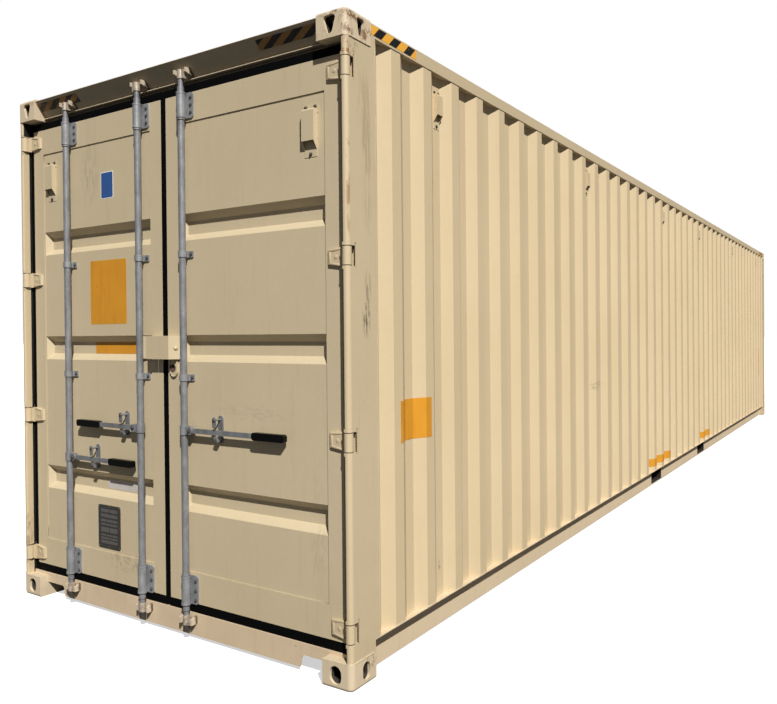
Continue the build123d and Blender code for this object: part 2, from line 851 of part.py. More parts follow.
def hinge_blades(left):
    axis = (hinge_axis_x, at(hinge_axis_depth))
    leaf_y = at(leaf_face)
    edge = hinge_axis_x - leaf_outer
    with BuildPart() as blades:
        for middle in hinge_heights:
            with BuildSketch(Plane.XY.offset(middle - blade_height / 2)):
                Polygon(
                    (axis[0], axis[1] + barrel_radius - blade_plate),
                    (axis[0] - barrel_radius, axis[1] + barrel_radius - blade_plate),
                    (axis[0] - 2 * barrel_radius, leaf_y - blade_plate),
                    (axis[0] - blade_reach + blade_plate, leaf_y - blade_plate),
                    (axis[0] - blade_reach, leaf_y),
                    (axis[0] - edge + blade_plate, leaf_y),
                    (axis[0] - barrel_radius, axis[1] + barrel_radius),
                    (axis[0], axis[1] + barrel_radius),
                    align=None,
                )
                with Locations(axis):
                    Circle(barrel_radius)
                    Circle(pin_radius + pin_clearance, mode=Mode.SUBTRACT)
            extrude(amount=blade_height)
            for way in (-1, 1):
                taper = [
                    (axis[0] - 2 * barrel_radius, middle + way * blade_height / 2),
                    (axis[0] - blade_reach, middle + way * blade_end_height / 2),
                    (axis[0] - blade_reach, middle + way * blade_height / 2),
                ]
                section(taper, Plane.XZ.offset(-leaf_y), leaf_face, Mode.SUBTRACT)
        if left:
            mirror(about=Plane.YZ, mode=Mode.REPLACE)
    return blades


for left, name in ((True, "left"), (False, "right")):
    save(leaf_frame(left), f"door_frame_{name}")
    save(leaf_panel(left), f"door_panel_{name}")
    save(leaf_gasket(left), f"door_gasket_{name}")
    save(hinge_blades(left), f"hinge_blades_{name}")


# Cam keepers: pairs of ears on the header and on the sill that take each cam between them
with BuildPart() as cam_keepers:
    lean = (header_lip_depth - header_brow_depth) / (header_top - header_lip_height)
    upper_low = header_lip_height + keeper_weld
    upper_high = upper_low + keeper_height
    lower_low = cam_lower_middle - keeper_height / 2
    lower_high = cam_lower_middle + keeper_height / 2
    ear_front = rod_axis_depth - cam_thick / 2
    upper_ear = [
        (at(header_lip_depth - (upper_low - header_lip_height) * lean), upper_low),
        (at(header_lip_depth - (upper_high - header_lip_height) * lean), upper_high),
        (at(ear_front), upper_high),
        (at(ear_front), upper_high - keeper_height / 2),
    ]
    lower_ear = [
        (at(sill_depth), lower_low),
        (at(sill_depth), lower_high),
        (at(ear_front), lower_high - keeper_height / 3),
        (at(ear_front), lower_low),
    ]
    for rod_x in rod_places:
        inner = cam_reach + cam_clearance + keeper_plate
        for ear_x in (rod_x - inner, rod_x + inner - keeper_plate):
            section(upper_ear, Plane.YZ.offset(ear_x), keeper_plate)
            section(lower_ear, Plane.YZ.offset(ear_x), keeper_plate)
save(cam_keepers, "cam_keepers")


# Door hardware: bearings near the ends of each rod and two guides between them
def bracket(rod_x, radius, reach, seat, low, high):
    """A sleeve round the rod with its fixing plate flat on the leaf at the depth of the seat."""
    plate_middle = seat - bearing_plate / 2
    with BuildSketch(Plane.XY.offset(low)) as profile:
        with Locations((rod_x, at(rod_axis_depth))):
            Circle(radius)
        with Locations((rod_x + (reach - bearing_heel) / 2, at(plate_middle))):
            Rectangle(reach + bearing_heel, bearing_plate)
        with Locations((rod_x, at((rod_axis_depth + seat) / 2))):
            Rectangle(radius, seat - rod_axis_depth)
        with Locations((rod_x, at(rod_axis_depth))):
            Circle(rod_radius + rod_clearance, mode=Mode.SUBTRACT)
    extrude(profile.sketch, amount=high - low)


def end_ring(rod_x, low):
    """A thicker ring at one end of a bearing sleeve."""
    with BuildSketch(Plane.XY.offset(low)) as ring:
        with Locations((rod_x, at(rod_axis_depth))):
            Circle(bearing_ring_radius)
            Circle(rod_radius + rod_clearance, mode=Mode.SUBTRACT)
    extrude(ring.sketch, amount=bearing_ring_height)


def rod_hardware(rods):
    with BuildPart() as hardware:
        for index in rods:
            rod_x = rod_places[index]
            for low, high in ((lower_bearing_low, lower_bearing_high),
                              (upper_bearing_low, upper_bearing_high)):
                bracket(rod_x, bearing_radius, bearing_reach, leaf_face, low, high)
                end_ring(rod_x, low)
                end_ring(rod_x, high - bearing_ring_height)
            for low in guide_heights:
                bracket(rod_x, guide_radius, guide_reach, leaf_face + panel_recess,
                        low - guide_tall / 2, low + guide_tall / 2)
        edge_x = bearing_reach - bearing_plate
        corners = hardware.edges().filter_by(Axis.Y).filter_by(
            lambda edge: any(edge.center().X > rod_places[k] + edge_x for k in rods
                             if abs(edge.center().X - rod_places[k]) < bearing_reach + cut_margin))
        fillet(corners, bearing_corner)
    return hardware


save(rod_hardware((0, 1)), "door_hardware_left")
save(rod_hardware((2,)), "door_hardware_right")


# Handle catches: a narrow plate on the panel with an arm under the handle and a latch pin
def catch(middle_x, handle_z):
    seat = leaf_face + panel_recess
    arm_top = handle_z - handle_tall / 2 - catch_clearance
    arm_low = handle_z - catch_below
    plate_middle = handle_z + (catch_above - catch_below) / 2
    with BuildSketch(Plane.XZ.offset(-at(seat))) as back_plate:
        with Locations((middle_x, plate_middle)):
            SlotOverall(catch_above + catch_below, catch_width, rotation=90)
    extrude(back_plate.sketch, amount=catch_plate)
    arm = [
        (at(seat), arm_top),
        (at(catch_arm_front), arm_top),
        (at(catch_arm_front), arm_top - catch_arm_tip),
        (at(rod_axis_depth), arm_low + catch_plate),
        (at(seat), arm_low + catch_width / 2),
    ]
    section(arm, Plane.YZ.offset(middle_x - catch_arm / 2), catch_arm)
    pin_plane = Plane((middle_x, at(latch_front), handle_z + latch_pivot_rise),
                      x_dir=(1, 0, 0), z_dir=(0, 1, 0))
    with BuildSketch(pin_plane) as pin:
        Circle(latch_pin_radius)
    extrude(pin.sketch, amount=seat - latch_front)


def handle_catches(rods):
    with BuildPart() as catches:
        for index in rods:
            catch(rod_places[index] + handle_sides[index] * catch_offsets[index],
                  handle_heights[index])
    return catches


save(handle_catches((0, 1)), "handle_catches_left")
save(handle_catches((2,)), "handle_catch_right")

# Lock box: a folded cover over the gap, one half on each leaf, with a slanted side and a tab
with BuildPart() as lock_box_right_half:
    x0 = lock_box_gap / 2
    front = at(lock_box_front)
    seat = at(leaf_face)
    foot_x = lock_box_right + lock_box_slant
    box_tall = lock_box_top - lock_box_bottom
    section([(x0, front), (lock_box_right, front), (foot_x, seat), (x0, seat)],
            Plane.XY.offset(lock_box_bottom), box_tall)
    section([(x0, front + lock_box_plate), (lock_box_right - lock_box_plate / 2,
                                            front + lock_box_plate),
             (foot_x - lock_box_plate, seat), (x0, seat)],
            Plane.XY.offset(lock_box_bottom), box_tall - lock_box_plate, Mode.SUBTRACT)
    with BuildSketch(Plane.XZ.offset(-seat)):
        with Locations((tab_middle, (lock_box_bottom + lock_box_top - lock_box_plate) / 2)):
            Rectangle(tab_width, box_tall - lock_box_plate)
        with Locations((tab_middle, lock_box_bottom - (tab_drop - tab_width / 2) / 2)):
            Rectangle(tab_width, tab_drop - tab_width / 2)
        with Locations((tab_middle, lock_box_bottom - tab_drop + tab_width / 2)):
            Circle(tab_width / 2)
    extrude(amount=tab_plate)
    with BuildSketch(Plane.XZ.offset(-seat)):
        with Locations((tab_middle, lock_box_bottom - tab_hole_drop)):
            Circle(tab_hole_radius)
    extrude(amount=tab_plate, mode=Mode.SUBTRACT)
save(lock_box_right_half, "lock_box_right")

with BuildPart() as lock_box_left_half:
    x1 = -lock_box_gap / 2
    front = at(lock_box_front)
    seat = at(leaf_face)
    block(lock_box_left, x1, front, seat, lock_box_bottom, lock_box_top)
    block(lock_box_left + lock_box_plate, x1, front + lock_box_plate, seat,
          lock_box_bottom, lock_box_top - lock_box_plate, Mode.SUBTRACT)
    block(lock_box_left - lock_box_flange, lock_box_left + lock_box_plate,
          seat - lock_box_plate, seat, lock_box_bottom, lock_box_top)
save(lock_box_left_half, "lock_box_left")


def door_vent(left):
    with BuildPart() as vent:
        vent_cover(Plane((door_vent_middle, at(leaf_face + panel_recess), 0),
                         x_dir=(1, 0, 0), z_dir=(0, -1, 0)),
                   door_vent_width, door_vent_hood, door_vent_low, door_vent_high)
        if left:
            mirror(about=Plane.YZ, mode=Mode.REPLACE)
    return vent


save(door_vent(True), "door_ventilator_left")
save(door_vent(False), "door_ventilator_right")

# Data plate: thin metal with rounded corners, riveted low on the left leaf
with BuildPart() as data_plate:
    with BuildSketch(Plane.XZ.offset(-at(leaf_face + panel_recess))):
        with Locations(((data_plate_left + data_plate_right) / 2,
                        (data_plate_low + data_plate_high) / 2)):
            RectangleRounded(data_plate_right - data_plate_left,
                             data_plate_high - data_plate_low, data_plate_corner)
    extrude(amount=data_plate_thick)
save(data_plate, "data_plate")


# Locking rods: a tube with a necked cam at each end, two collars and the clevis of its handle
def round_bar(rod_x, radius, low, high):
    """A round length of the rod between two heights."""
    with BuildSketch(Plane.XY.offset(low)) as bar:
        with Locations((rod_x, at(rod_axis_depth))):
            Circle(radius)
    extrude(bar.sketch, amount=high - low)


def cam(rod_x, way, middle):
    axis_y = at(rod_axis_depth)
    with BuildSketch(Plane.XY.offset(middle - cam_height / 2)) as profile:
        with Locations((rod_x, axis_y)):
            Circle(rod_radius)
        with Locations((rod_x + way * cam_reach / 2, axis_y)):
            Rectangle(cam_reach, cam_thick)
        with Locations((rod_x + way * (cam_reach - cam_nose / 2), axis_y + cam_nose / 2)):
            Rectangle(cam_nose, cam_nose)
    extrude(profile.sketch, amount=cam_height)


def lock_rod(index):
    rod_x = rod_places[index]
    way = handle_sides[index]
    axis_y = at(rod_axis_depth)
    handle_z = handle_heights[index]
    pivot_x = rod_x + way * handle_pivot
    with BuildPart() as rod:
        round_bar(rod_x, rod_radius, rod_bottom, rod_top)
        round_bar(rod_x, neck_radius, cam_lower_middle, cam_upper_middle)
        round_bar(rod_x, foot_radius, foot_low, cam_lower_middle)
        cam(rod_x, way, cam_lower_middle)
        cam(rod_x, way, cam_upper_middle)
        for low in (lower_bearing_high + collar_gap,
                    upper_bearing_low - collar_gap - collar_height):
            round_bar(rod_x, collar_radius, low, low + collar_height)
        round_bar(rod_x, hub_radius, handle_z - hub_height / 2, handle_z + hub_height / 2)
        half_gap = handle_thick / 2 + hub_gap
        for ear in (-1, 1):
            with BuildSketch(Plane.XZ.offset(-(axis_y + ear * (half_gap + hub_plate / 2)))):
                with Locations((pivot_x, handle_z)):
                    Circle(handle_eye)
                with Locations((rod_x + way * handle_pivot / 2, handle_z)):
                    Rectangle(handle_pivot, 2 * handle_eye)
            extrude(amount=hub_plate / 2, both=True)
        with BuildSketch(Plane.XZ.offset(-axis_y)):
            with Locations((pivot_x, handle_z)):
                Circle(hub_pin_radius)
        extrude(amount=half_gap + hub_plate, both=True)
    return rod


# Handles: a flat bar with an eye at the clevis and a rubber grip on its free end
def handle(index):
    rod_x = rod_places[index]
    way = handle_sides[index]
    axis_y = at(rod_axis_depth)
    handle_z = handle_heights[index]
    pivot_x = rod_x + way * handle_pivot
    tip_x = rod_x + way * (handle_reaches[index] - grip_tall / 2)
    with BuildPart() as bar:
        with BuildSketch(Plane.XZ.offset(-axis_y)):
            with Locations((pivot_x, handle_z)):
                Circle(handle_eye)
            with Locations(((pivot_x + tip_x) / 2, handle_z)):
                Rectangle(abs(tip_x - pivot_x), handle_tall)
            with Locations((pivot_x, handle_z)):
                Circle(hub_pin_radius + pin_clearance, mode=Mode.SUBTRACT)
        extrude(amount=handle_thick / 2, both=True)
    return bar


def grip(index):
    rod_x = rod_places[index]
    way = handle_sides[index]
    axis_y = at(rod_axis_depth)
    handle_z = handle_heights[index]
    end_x = rod_x + way * handle_reaches[index]
    tip_x = end_x - way * grip_tall / 2
    start_x = end_x - way * grip_length
    with BuildPart() as rubber:
        with BuildSketch(Plane.XZ.offset(-axis_y)):
            with Locations(((start_x + end_x) / 2, handle_z)):
                RectangleRounded(grip_length, grip_tall, grip_tall / 3)
        extrude(amount=grip_thick / 2, both=True)
        low_x, high_x = sorted((start_x, tip_x))
        block(low_x, high_x, axis_y - handle_thick / 2, axis_y + handle_thick / 2,
              handle_z - handle_tall / 2, handle_z + handle_tall / 2, Mode.SUBTRACT)
    return rubber


# Catch latches: small plates that hang from a pin above each handle
def latch(index):
    middle_x = rod_places[index] + handle_sides[index] * catch_offsets[index]
    pivot_z = handle_heights[index] + latch_pivot_rise
    with BuildPart() as tongue:
        with BuildSketch(Plane.XZ.offset(-at(latch_front + latch_plate))):
            with Locations((middle_x, pivot_z - latch_length / 2)):
                SlotCenterToCenter(latch_length, latch_width, rotation=90)
            with Locations((middle_x, pivot_z)):
                Circle(latch_pin_radius + pin_clearance, mode=Mode.SUBTRACT)
        extrude(amount=latch_plate)
    return tongue


for index in range(len(rod_places)):
    number = index + 1
    save(lock_rod(index), f"lock_rod_{number}")
    save(handle(index), f"handle_{number}")
    save(grip(index), f"handle_grip_{number}")
    save(latch(index), f"catch_latch_{number}")
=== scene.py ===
import math
import random
import bmesh
import bpy
from mathutils import Euler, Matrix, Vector


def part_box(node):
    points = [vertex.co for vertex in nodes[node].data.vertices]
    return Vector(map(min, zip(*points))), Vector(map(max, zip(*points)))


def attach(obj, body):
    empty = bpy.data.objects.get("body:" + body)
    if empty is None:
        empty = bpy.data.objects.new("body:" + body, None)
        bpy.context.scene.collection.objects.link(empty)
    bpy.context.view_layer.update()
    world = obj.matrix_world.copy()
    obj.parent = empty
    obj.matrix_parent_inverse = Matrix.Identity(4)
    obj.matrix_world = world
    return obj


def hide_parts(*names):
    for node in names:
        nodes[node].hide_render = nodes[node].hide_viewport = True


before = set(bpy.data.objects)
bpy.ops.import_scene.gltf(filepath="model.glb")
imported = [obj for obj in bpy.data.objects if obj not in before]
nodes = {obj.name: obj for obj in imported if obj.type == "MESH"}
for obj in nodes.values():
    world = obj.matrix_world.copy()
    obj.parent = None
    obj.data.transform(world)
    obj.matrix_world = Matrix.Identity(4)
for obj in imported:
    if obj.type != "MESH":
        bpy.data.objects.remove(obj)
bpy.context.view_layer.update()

# Camera, daylight and floor
# The camera stands on the right of the doors at eye height. One strong lamp falls from the
# upper right as the sun does, and the sky fills the shadows a little. The floor is near white.
camera_data = bpy.data.cameras.new("camera")
camera_data.sensor_width = 36.0
camera_data.lens = 34.70
camera_data.shift_x = -0.0442
camera_data.shift_y = -0.0175
camera_data.clip_end = 500.0
camera = bpy.data.objects.new("camera", camera_data)
camera.location = (3.1478, -8.5962, 1.5199)
camera.rotation_euler = Euler([math.radians(a) for a in (89.586, 0.508, 31.998)])
bpy.context.collection.objects.link(camera)
bpy.context.scene.camera = camera
bpy.context.scene.view_settings.view_transform = "Standard"

sun_data = bpy.data.lights.new("key_lamp", "SUN")
sun_data.energy = 5.3
sun_data.angle = math.radians(1.2)
sun_data.color = (1.0, 0.985, 0.955)
sun = bpy.data.objects.new("key_lamp", sun_data)
sun.rotation_euler = Vector((0.558, -0.465, 0.688)).to_track_quat("Z", "Y").to_euler()
bpy.context.collection.objects.link(sun)

world = bpy.data.worlds.new("sky")
world.use_nodes = True
bpy.context.scene.world = world
tree = world.node_tree
tree.nodes.clear()
out = tree.nodes.new("ShaderNodeOutputWorld")
mix = tree.nodes.new("ShaderNodeMixShader")
fill = tree.nodes.new("ShaderNodeBackground")
fill.inputs["Color"].default_value = (0.88, 0.93, 1.0, 1)
fill.inputs["Strength"].default_value = 0.125
white = tree.nodes.new("ShaderNodeBackground")
white.inputs["Color"].default_value = (1, 1, 1, 1)
white.inputs["Strength"].default_value = 1.0
path = tree.nodes.new("ShaderNodeLightPath")
seen = tree.nodes.new("ShaderNodeMath")
seen.operation = "MAXIMUM"
tree.links.new(path.outputs["Is Camera Ray"], seen.inputs[0])
tree.links.new(path.outputs["Is Transmission Ray"], seen.inputs[1])
tree.links.new(seen.outputs[0], mix.inputs[0])
tree.links.new(fill.outputs[0], mix.inputs[1])
tree.links.new(white.outputs[0], mix.inputs[2])
tree.links.new(mix.outputs[0], out.inputs["Surface"])

floor_mesh = bpy.data.meshes.new("studio_floor")
floor_mesh.from_pydata([(-150, -150, 0), (150, -150, 0), (150, 150, 0), (-150, 150, 0)], [], [(0, 1, 2, 3)])
studio_floor = bpy.data.objects.new("studio_floor", floor_mesh)
studio_floor.location.z = -0.001
bpy.context.collection.objects.link(studio_floor)
floor_look = bpy.data.materials.new("studio_floor")
floor_look.use_nodes = True
tree = floor_look.node_tree
tree.nodes.clear()
out = tree.nodes.new("ShaderNodeOutputMaterial")
seen_floor = tree.nodes.new("ShaderNodeAddShader")
pale = tree.nodes.new("ShaderNodeBsdfDiffuse")
pale.inputs["Color"].default_value = (0.80, 0.80, 0.80, 1)
glow = tree.nodes.new("ShaderNodeEmission")
glow.inputs["Strength"].default_value = 0.60
lit_floor = tree.nodes.new("ShaderNodeBsdfDiffuse")
lit_floor.inputs["Color"].default_value = (0.11, 0.108, 0.104, 1)
path = tree.nodes.new("ShaderNodeLightPath")
pick = tree.nodes.new("ShaderNodeMixShader")
tree.links.new(pale.outputs[0], seen_floor.inputs[0])
tree.links.new(glow.outputs[0], seen_floor.inputs[1])
tree.links.new(path.outputs["Is Camera Ray"], pick.inputs[0])
tree.links.new(lit_floor.outputs[0], pick.inputs[1])
tree.links.new(seen_floor.outputs[0], pick.inputs[2])
tree.links.new(pick.outputs[0], out.inputs["Surface"])
floor_mesh.materials.append(floor_look)


# Posts, rails, header and sill
# Hot-rolled and pressed steel sections, welded into a frame, blasted, primed and sprayed tan.
# The paint is satin, a little uneven, dusty near the ground and chipped where it is handled.
class Look:
    """A painted or bare surface built up in layers, from the base colour outwards."""

    def __init__(self, name):
        self.material = bpy.data.materials.new(name)
        self.material.use_nodes = True
        self.tree = self.material.node_tree
        self.tree.nodes.clear()
        out = self.add("ShaderNodeOutputMaterial")
        self.skin = self.add("ShaderNodeBsdfPrincipled")
        self.link(self.skin.outputs[0], out.inputs["Surface"])
        self.place = self.add("ShaderNodeTexCoord").outputs["Object"]
        split = self.add("ShaderNodeSeparateXYZ")
        self.link(self.place, split.inputs[0])
        self.x, self.y, self.z = split.outputs

    def add(self, kind):
        return self.tree.nodes.new(kind)

    def link(self, a, b):
        self.tree.links.new(a, b)

    def feed(self, socket, value):
        if isinstance(value, (int, float, tuple)):
            socket.default_value = value
        else:
            self.link(value, socket)

    def math(self, kind, a, b=0.0):
        node = self.add("ShaderNodeMath")
        node.operation = kind
        self.feed(node.inputs[0], a)
        self.feed(node.inputs[1], b)
        return node.outputs[0]

    def times(self, a, b):
        return self.math("MULTIPLY", a, b)

    def noise(self, scale, detail=4.0, rough=0.55, stretch=(1, 1, 1)):
        fit = self.add("ShaderNodeMapping")
        fit.inputs["Scale"].default_value = stretch
        self.link(self.place, fit.inputs["Vector"])
        tex = self.add("ShaderNodeTexNoise")
        tex.inputs["Scale"].default_value = scale
        tex.inputs["Detail"].default_value = detail
        tex.inputs["Roughness"].default_value = rough
        self.link(fit.outputs[0], tex.inputs["Vector"])
        return tex.outputs["Fac"]

    def ramp(self, value, low, high, out_low=0.0, out_high=1.0):
        node = self.add("ShaderNodeMapRange")
        node.inputs["From Min"].default_value = low
        node.inputs["From Max"].default_value = high
        node.inputs["To Min"].default_value = out_low
        node.inputs["To Max"].default_value = out_high
        self.link(value, node.inputs["Value"])
        return node.outputs[0]

    def over(self, factor, under, top):
        node = self.add("ShaderNodeMix")
        node.data_type = "RGBA"
        self.feed(node.inputs[0], factor)
        self.feed(node.inputs[6], under)
        self.feed(node.inputs[7], top)
        return node.outputs[2]

    def near(self, point, reach, soft=0.4):
        """1 near a point, fading to 0 at the edge of an ellipsoid of that reach."""
        shift = self.add("ShaderNodeVectorMath")
        shift.operation = "SUBTRACT"
        self.link(self.place, shift.inputs[0])
        shift.inputs[1].default_value = point
        size = self.add("ShaderNodeVectorMath")
        size.operation = "DIVIDE"
        self.link(shift.outputs[0], size.inputs[0])
        size.inputs[1].default_value = reach
        far = self.add("ShaderNodeVectorMath")
        far.operation = "LENGTH"
        self.link(size.outputs[0], far.inputs[0])
        return self.ramp(far.outputs["Value"], 1.0, soft)

    def inside(self, value, middle, half):
        """1 where a coordinate, taken without its sign, is within half of the middle."""
        away = self.math("ABSOLUTE", self.math("SUBTRACT", self.math("ABSOLUTE", value), middle))
        return self.math("LESS_THAN", away, half)

    def finish(self, colour, roughness, bump, grain=260.0, dents=2.6, spread=0.09):
        self.link(colour, self.skin.inputs["Base Color"])
        self.link(self.ramp(self.noise(7.0, 4.0), 0.3, 0.7, roughness - spread, roughness + spread),
                  self.skin.inputs["Roughness"])
        dent = self.add("ShaderNodeBump")
        dent.inputs["Strength"].default_value = bump
        dent.inputs["Distance"].default_value = 0.004
        self.link(self.noise(dents, 3.0, 0.5), dent.inputs["Height"])
        peel = self.add("ShaderNodeBump")
        peel.inputs["Strength"].default_value = bump * 0.5
        peel.inputs["Distance"].default_value = 0.0006
        self.link(self.noise(grain, 2.0), peel.inputs["Height"])
        self.link(dent.outputs[0], peel.inputs["Normal"])
        self.link(peel.outputs[0], self.skin.inputs["Normal"])
        return self.material


def paint(name, base, wear=0.3, dirt=0.5, bump=0.15, roughness=0.5, stains=0.3, rust=0.0,
          scuffs=(), extra=None):
    """Sprayed paint: uneven tone, fine grain, streaks, dust low down, chips, rust and scuffs.

    Each scuff is its middle, its reach, its colour, its strength and the stretch of its noise.
    """
    look = Look(name)
    r, g, b = base
    colour = look.over(look.ramp(look.noise(0.9, 3.0), 0.35, 0.65),
                       (r * 0.955, g * 0.95, b * 0.935, 1), (r, g, b, 1))
    grain = look.ramp(look.noise(38.0, 3.0), 0.4, 0.7, 0.0, 0.10)
    colour = look.over(grain, colour, (r * 0.80, g * 0.79, b * 0.75, 1))
    streak = look.ramp(look.noise(6.0, 5.0, 0.6, (5.0, 5.0, 0.35)), 0.56, 0.78)
    colour = look.over(look.times(streak, stains), colour, (r * 0.66, g * 0.60, b * 0.50, 1))
    low = look.ramp(look.z, 0.75, 0.0)
    dust = look.times(look.times(low, look.ramp(look.noise(4.5, 6.0, 0.65), 0.35, 0.75)), dirt)
    colour = look.over(dust, colour, (r * 0.60, g * 0.54, b * 0.44, 1))
    speck = look.ramp(look.noise(55.0, 2.0, 0.5), 0.74, 0.76)
    chip = look.times(look.times(speck, look.ramp(look.noise(3.2, 3.0), 0.52, 0.66)), wear)
    colour = look.over(chip, colour, (0.16, 0.11, 0.08, 1))
    if rust:
        patch = look.times(look.ramp(look.noise(11.0, 6.0, 0.7), 0.60, 0.72), rust)
        colour = look.over(patch, colour, (0.20, 0.075, 0.025, 1))
    for point, reach, shade, strength, stretch in scuffs:
        scrape = look.ramp(look.noise(26.0, 5.0, 0.7, stretch), 0.48, 0.55)
        colour = look.over(look.times(look.times(look.near(point, reach), scrape), strength), colour,
                           shade)
    if extra:
        colour = extra(look, colour)
    return look.finish(colour, roughness, bump)


def dress(look, *names):
    """Gives solids of the frame a material."""
    for name in names:
        mesh = nodes[name].data
        mesh.materials.clear()
        mesh.materials.append(look)


door_end = -6.096
# Black of the seal rub marks and the seals, and of painted shade in the gaps beside the leaves.
gap_black_and_shade = (0.012, 0.011, 0.010, 1)


def seal_marks_and_painted_shade(look, colour):
    """Black seal rub marks on the inner faces of the rear posts; above the header's foot the black reaches
    further forward, as painted shade under the casting and header.
    """
    post_inner, header_foot, header_shift = 1.1855, 2.70, 0.031
    high = look.math("GREATER_THAN", look.z, header_foot)
    start = look.math("SUBTRACT", door_end + 0.044, look.times(high, header_shift))
    depth = look.math("GREATER_THAN", look.y, start)
    stop = look.math("LESS_THAN", look.y, door_end + 0.092)
    face = look.inside(look.x, post_inner, 0.0015)
    return look.over(look.times(look.times(depth, stop), face), colour, gap_black_and_shade)


tan = (0.572, 0.460, 0.296)
frame_paint = paint("frame_paint", tan, wear=0.6, dirt=0.35, bump=0.12, stains=0.22)
dress(frame_paint, "front_posts", "front_top_rail", "top_rail_left", "top_rail_right",
      "roof_end_plates")
scratches = (
    ((1.216, -5.965, 1.585), (0.03, 0.035, 0.10), (0.09, 0.07, 0.05, 1), 0.85, (1, 3.0, 0.7)),
    ((1.216, -5.955, 1.700), (0.03, 0.030, 0.12), (0.16, 0.12, 0.08, 1), 0.6, (1, 4.0, 0.5)),
    ((1.216, -5.950, 2.30), (0.03, 0.05, 0.45), (0.30, 0.23, 0.15, 1), 0.5, (1, 5.0, 0.3)),
    ((1.212, -6.085, 2.72), (0.03, 0.03, 0.10), (0.22, 0.09, 0.03, 1), 0.9, (1, 2.0, 1.0)),
    ((-1.19, -6.093, 0.35), (0.06, 0.05, 0.20), (0.20, 0.10, 0.05, 1), 0.5, (2, 2.0, 0.6)),
    ((1.213, -6.082, 2.18), (0.012, 0.012, 0.34), (0.28, 0.12, 0.06, 1), 0.7, (1, 1.0, 0.25)),
    ((1.216, -6.05, 2.74), (0.03, 0.05, 0.03), (0.20, 0.09, 0.05, 1), 0.8, (1, 1.0, 1.0)),
    ((1.216, -5.98, 2.45), (0.03, 0.06, 0.25), (0.42, 0.31, 0.19, 1), 0.6, (1, 2.5, 0.2)),
)
post_paint = paint("post_paint", tan, wear=0.6, dirt=0.35, bump=0.12, stains=0.3, scuffs=scratches,
                   extra=seal_marks_and_painted_shade)
dress(post_paint, "rear_post_left", "rear_post_right", "hinge_lugs")
# The header's colour is darker than the frame's tan: painted shade under its brow.
shaded_header_paint = paint("shaded_header_paint", (0.40, 0.332, 0.230), wear=0.5, dirt=0.2, bump=0.12, stains=0.4)
dress(shaded_header_paint, "door_header")
sill_paint = paint("sill_paint", (0.655, 0.515, 0.355), wear=0.9, dirt=0.35, bump=0.12, stains=0.3,
                   rust=0.06)
dress(sill_paint, "door_sill", "front_sill")
rail_paint = paint("rail_paint", (0.66, 0.53, 0.36), wear=0.6, dirt=0.10, bump=0.12, stains=0.3, rust=0.05)
dress(rail_paint, "bottom_rail_left", "bottom_rail_right")


# Corner castings
# Eight hollow cast steel blocks welded to the ends of the posts. They take all the lifting and
# stacking, so their paint is scuffed on the edges. The hollow inside is painted near black, as shade.
def hollow_painted_shade(look, colour):
    """Painted shade, near black, inside and in the throats of the holes, from half way through the wall."""
    across = look.inside(look.x, 1.1366, 0.0688)
    along = look.inside(look.y, 6.0056, 0.0768)
    upper = look.inside(look.z, 2.8349, 0.0461)
    lower = look.inside(look.z, 0.0611, 0.0461)
    hollow = look.times(look.times(across, along), look.math("MAXIMUM", upper, lower))
    return look.over(look.times(hollow, 0.95), colour, (0.014, 0.012, 0.010, 1))


rubbed = (
    ((1.216, -6.05, 2.875), (0.03, 0.10, 0.035), (0.17, 0.075, 0.03, 1), 0.9, (1.5, 1.5, 1.5)),
    ((1.205, -6.09, 2.84), (0.035, 0.03, 0.07), (0.20, 0.10, 0.05, 1), 0.8, (1.5, 1.5, 1)),
    ((1.14, -6.093, 2.885), (0.08, 0.03, 0.02), (0.17, 0.075, 0.03, 1), 0.8, (1, 1, 1)),
    ((1.219, -5.95, 2.81), (0.03, 0.05, 0.07), (0.22, 0.10, 0.04, 1), 0.9, (1.5, 1.5, 1)),
    ((1.219, -6.07, 2.80), (0.03, 0.03, 0.035), (0.20, 0.09, 0.04, 1), 0.9, (1.5, 1.5, 1)),
    ((1.09, -6.096, 2.80), (0.04, 0.03, 0.03), (0.24, 0.13, 0.07, 1), 0.7, (1.5, 1.5, 1)),
    ((-1.12, -6.096, 2.87), (0.07, 0.03, 0.02), (0.24, 0.13, 0.07, 1), 0.7, (1.5, 1.5, 1)),
    ((1.219, -5.96, 0.09), (0.03, 0.05, 0.04), (0.20, 0.11, 0.06, 1), 0.8, (1.5, 1.5, 1)),
    ((1.219, -5.945, 0.105), (0.02, 0.03, 0.012), (0.18, 0.09, 0.05, 1), 0.9, (1, 1, 1)),
)
casting_paint = paint("casting_paint", (0.635, 0.52, 0.362), wear=0.9, dirt=0.3, bump=0.5,
                      roughness=0.6, stains=0.4, rust=0.14, scuffs=rubbed, extra=hollow_painted_shade)
dress(casting_paint, "corner_castings_bottom", "corner_castings_top_rear", "corner_castings_top_front")


# Frame welds
# Runs of arc weld where the castings meet the posts, the top rails, the header and the sill.
# They are laid by hand, left proud and painted over with the rest.
def keep(name, bm, look, body, smooth=True):
    """Turns built-up mesh into a piece of the object that rides on a body."""
    bmesh.ops.recalc_face_normals(bm, faces=bm.faces)
    mesh = bpy.data.meshes.new(name)
    bm.to_mesh(mesh)
    bm.free()
    for face in mesh.polygons:
        face.use_smooth = smooth
    mesh.materials.append(look)
    piece = bpy.data.objects.new(name, mesh)
    bpy.context.collection.objects.link(piece)
    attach(piece, body)
    return piece


def skin_rings(bm, rings):
    """Joins rings of vertices one to the next and closes both ends."""
    for ring, following in zip(rings, rings[1:]):
        count = len(ring)
        for n in range(count):
            bm.faces.new((ring[n], ring[(n + 1) % count], following[(n + 1) % count], following[n]))
    bm.faces.new(rings[0])
    bm.faces.new(rings[-1])


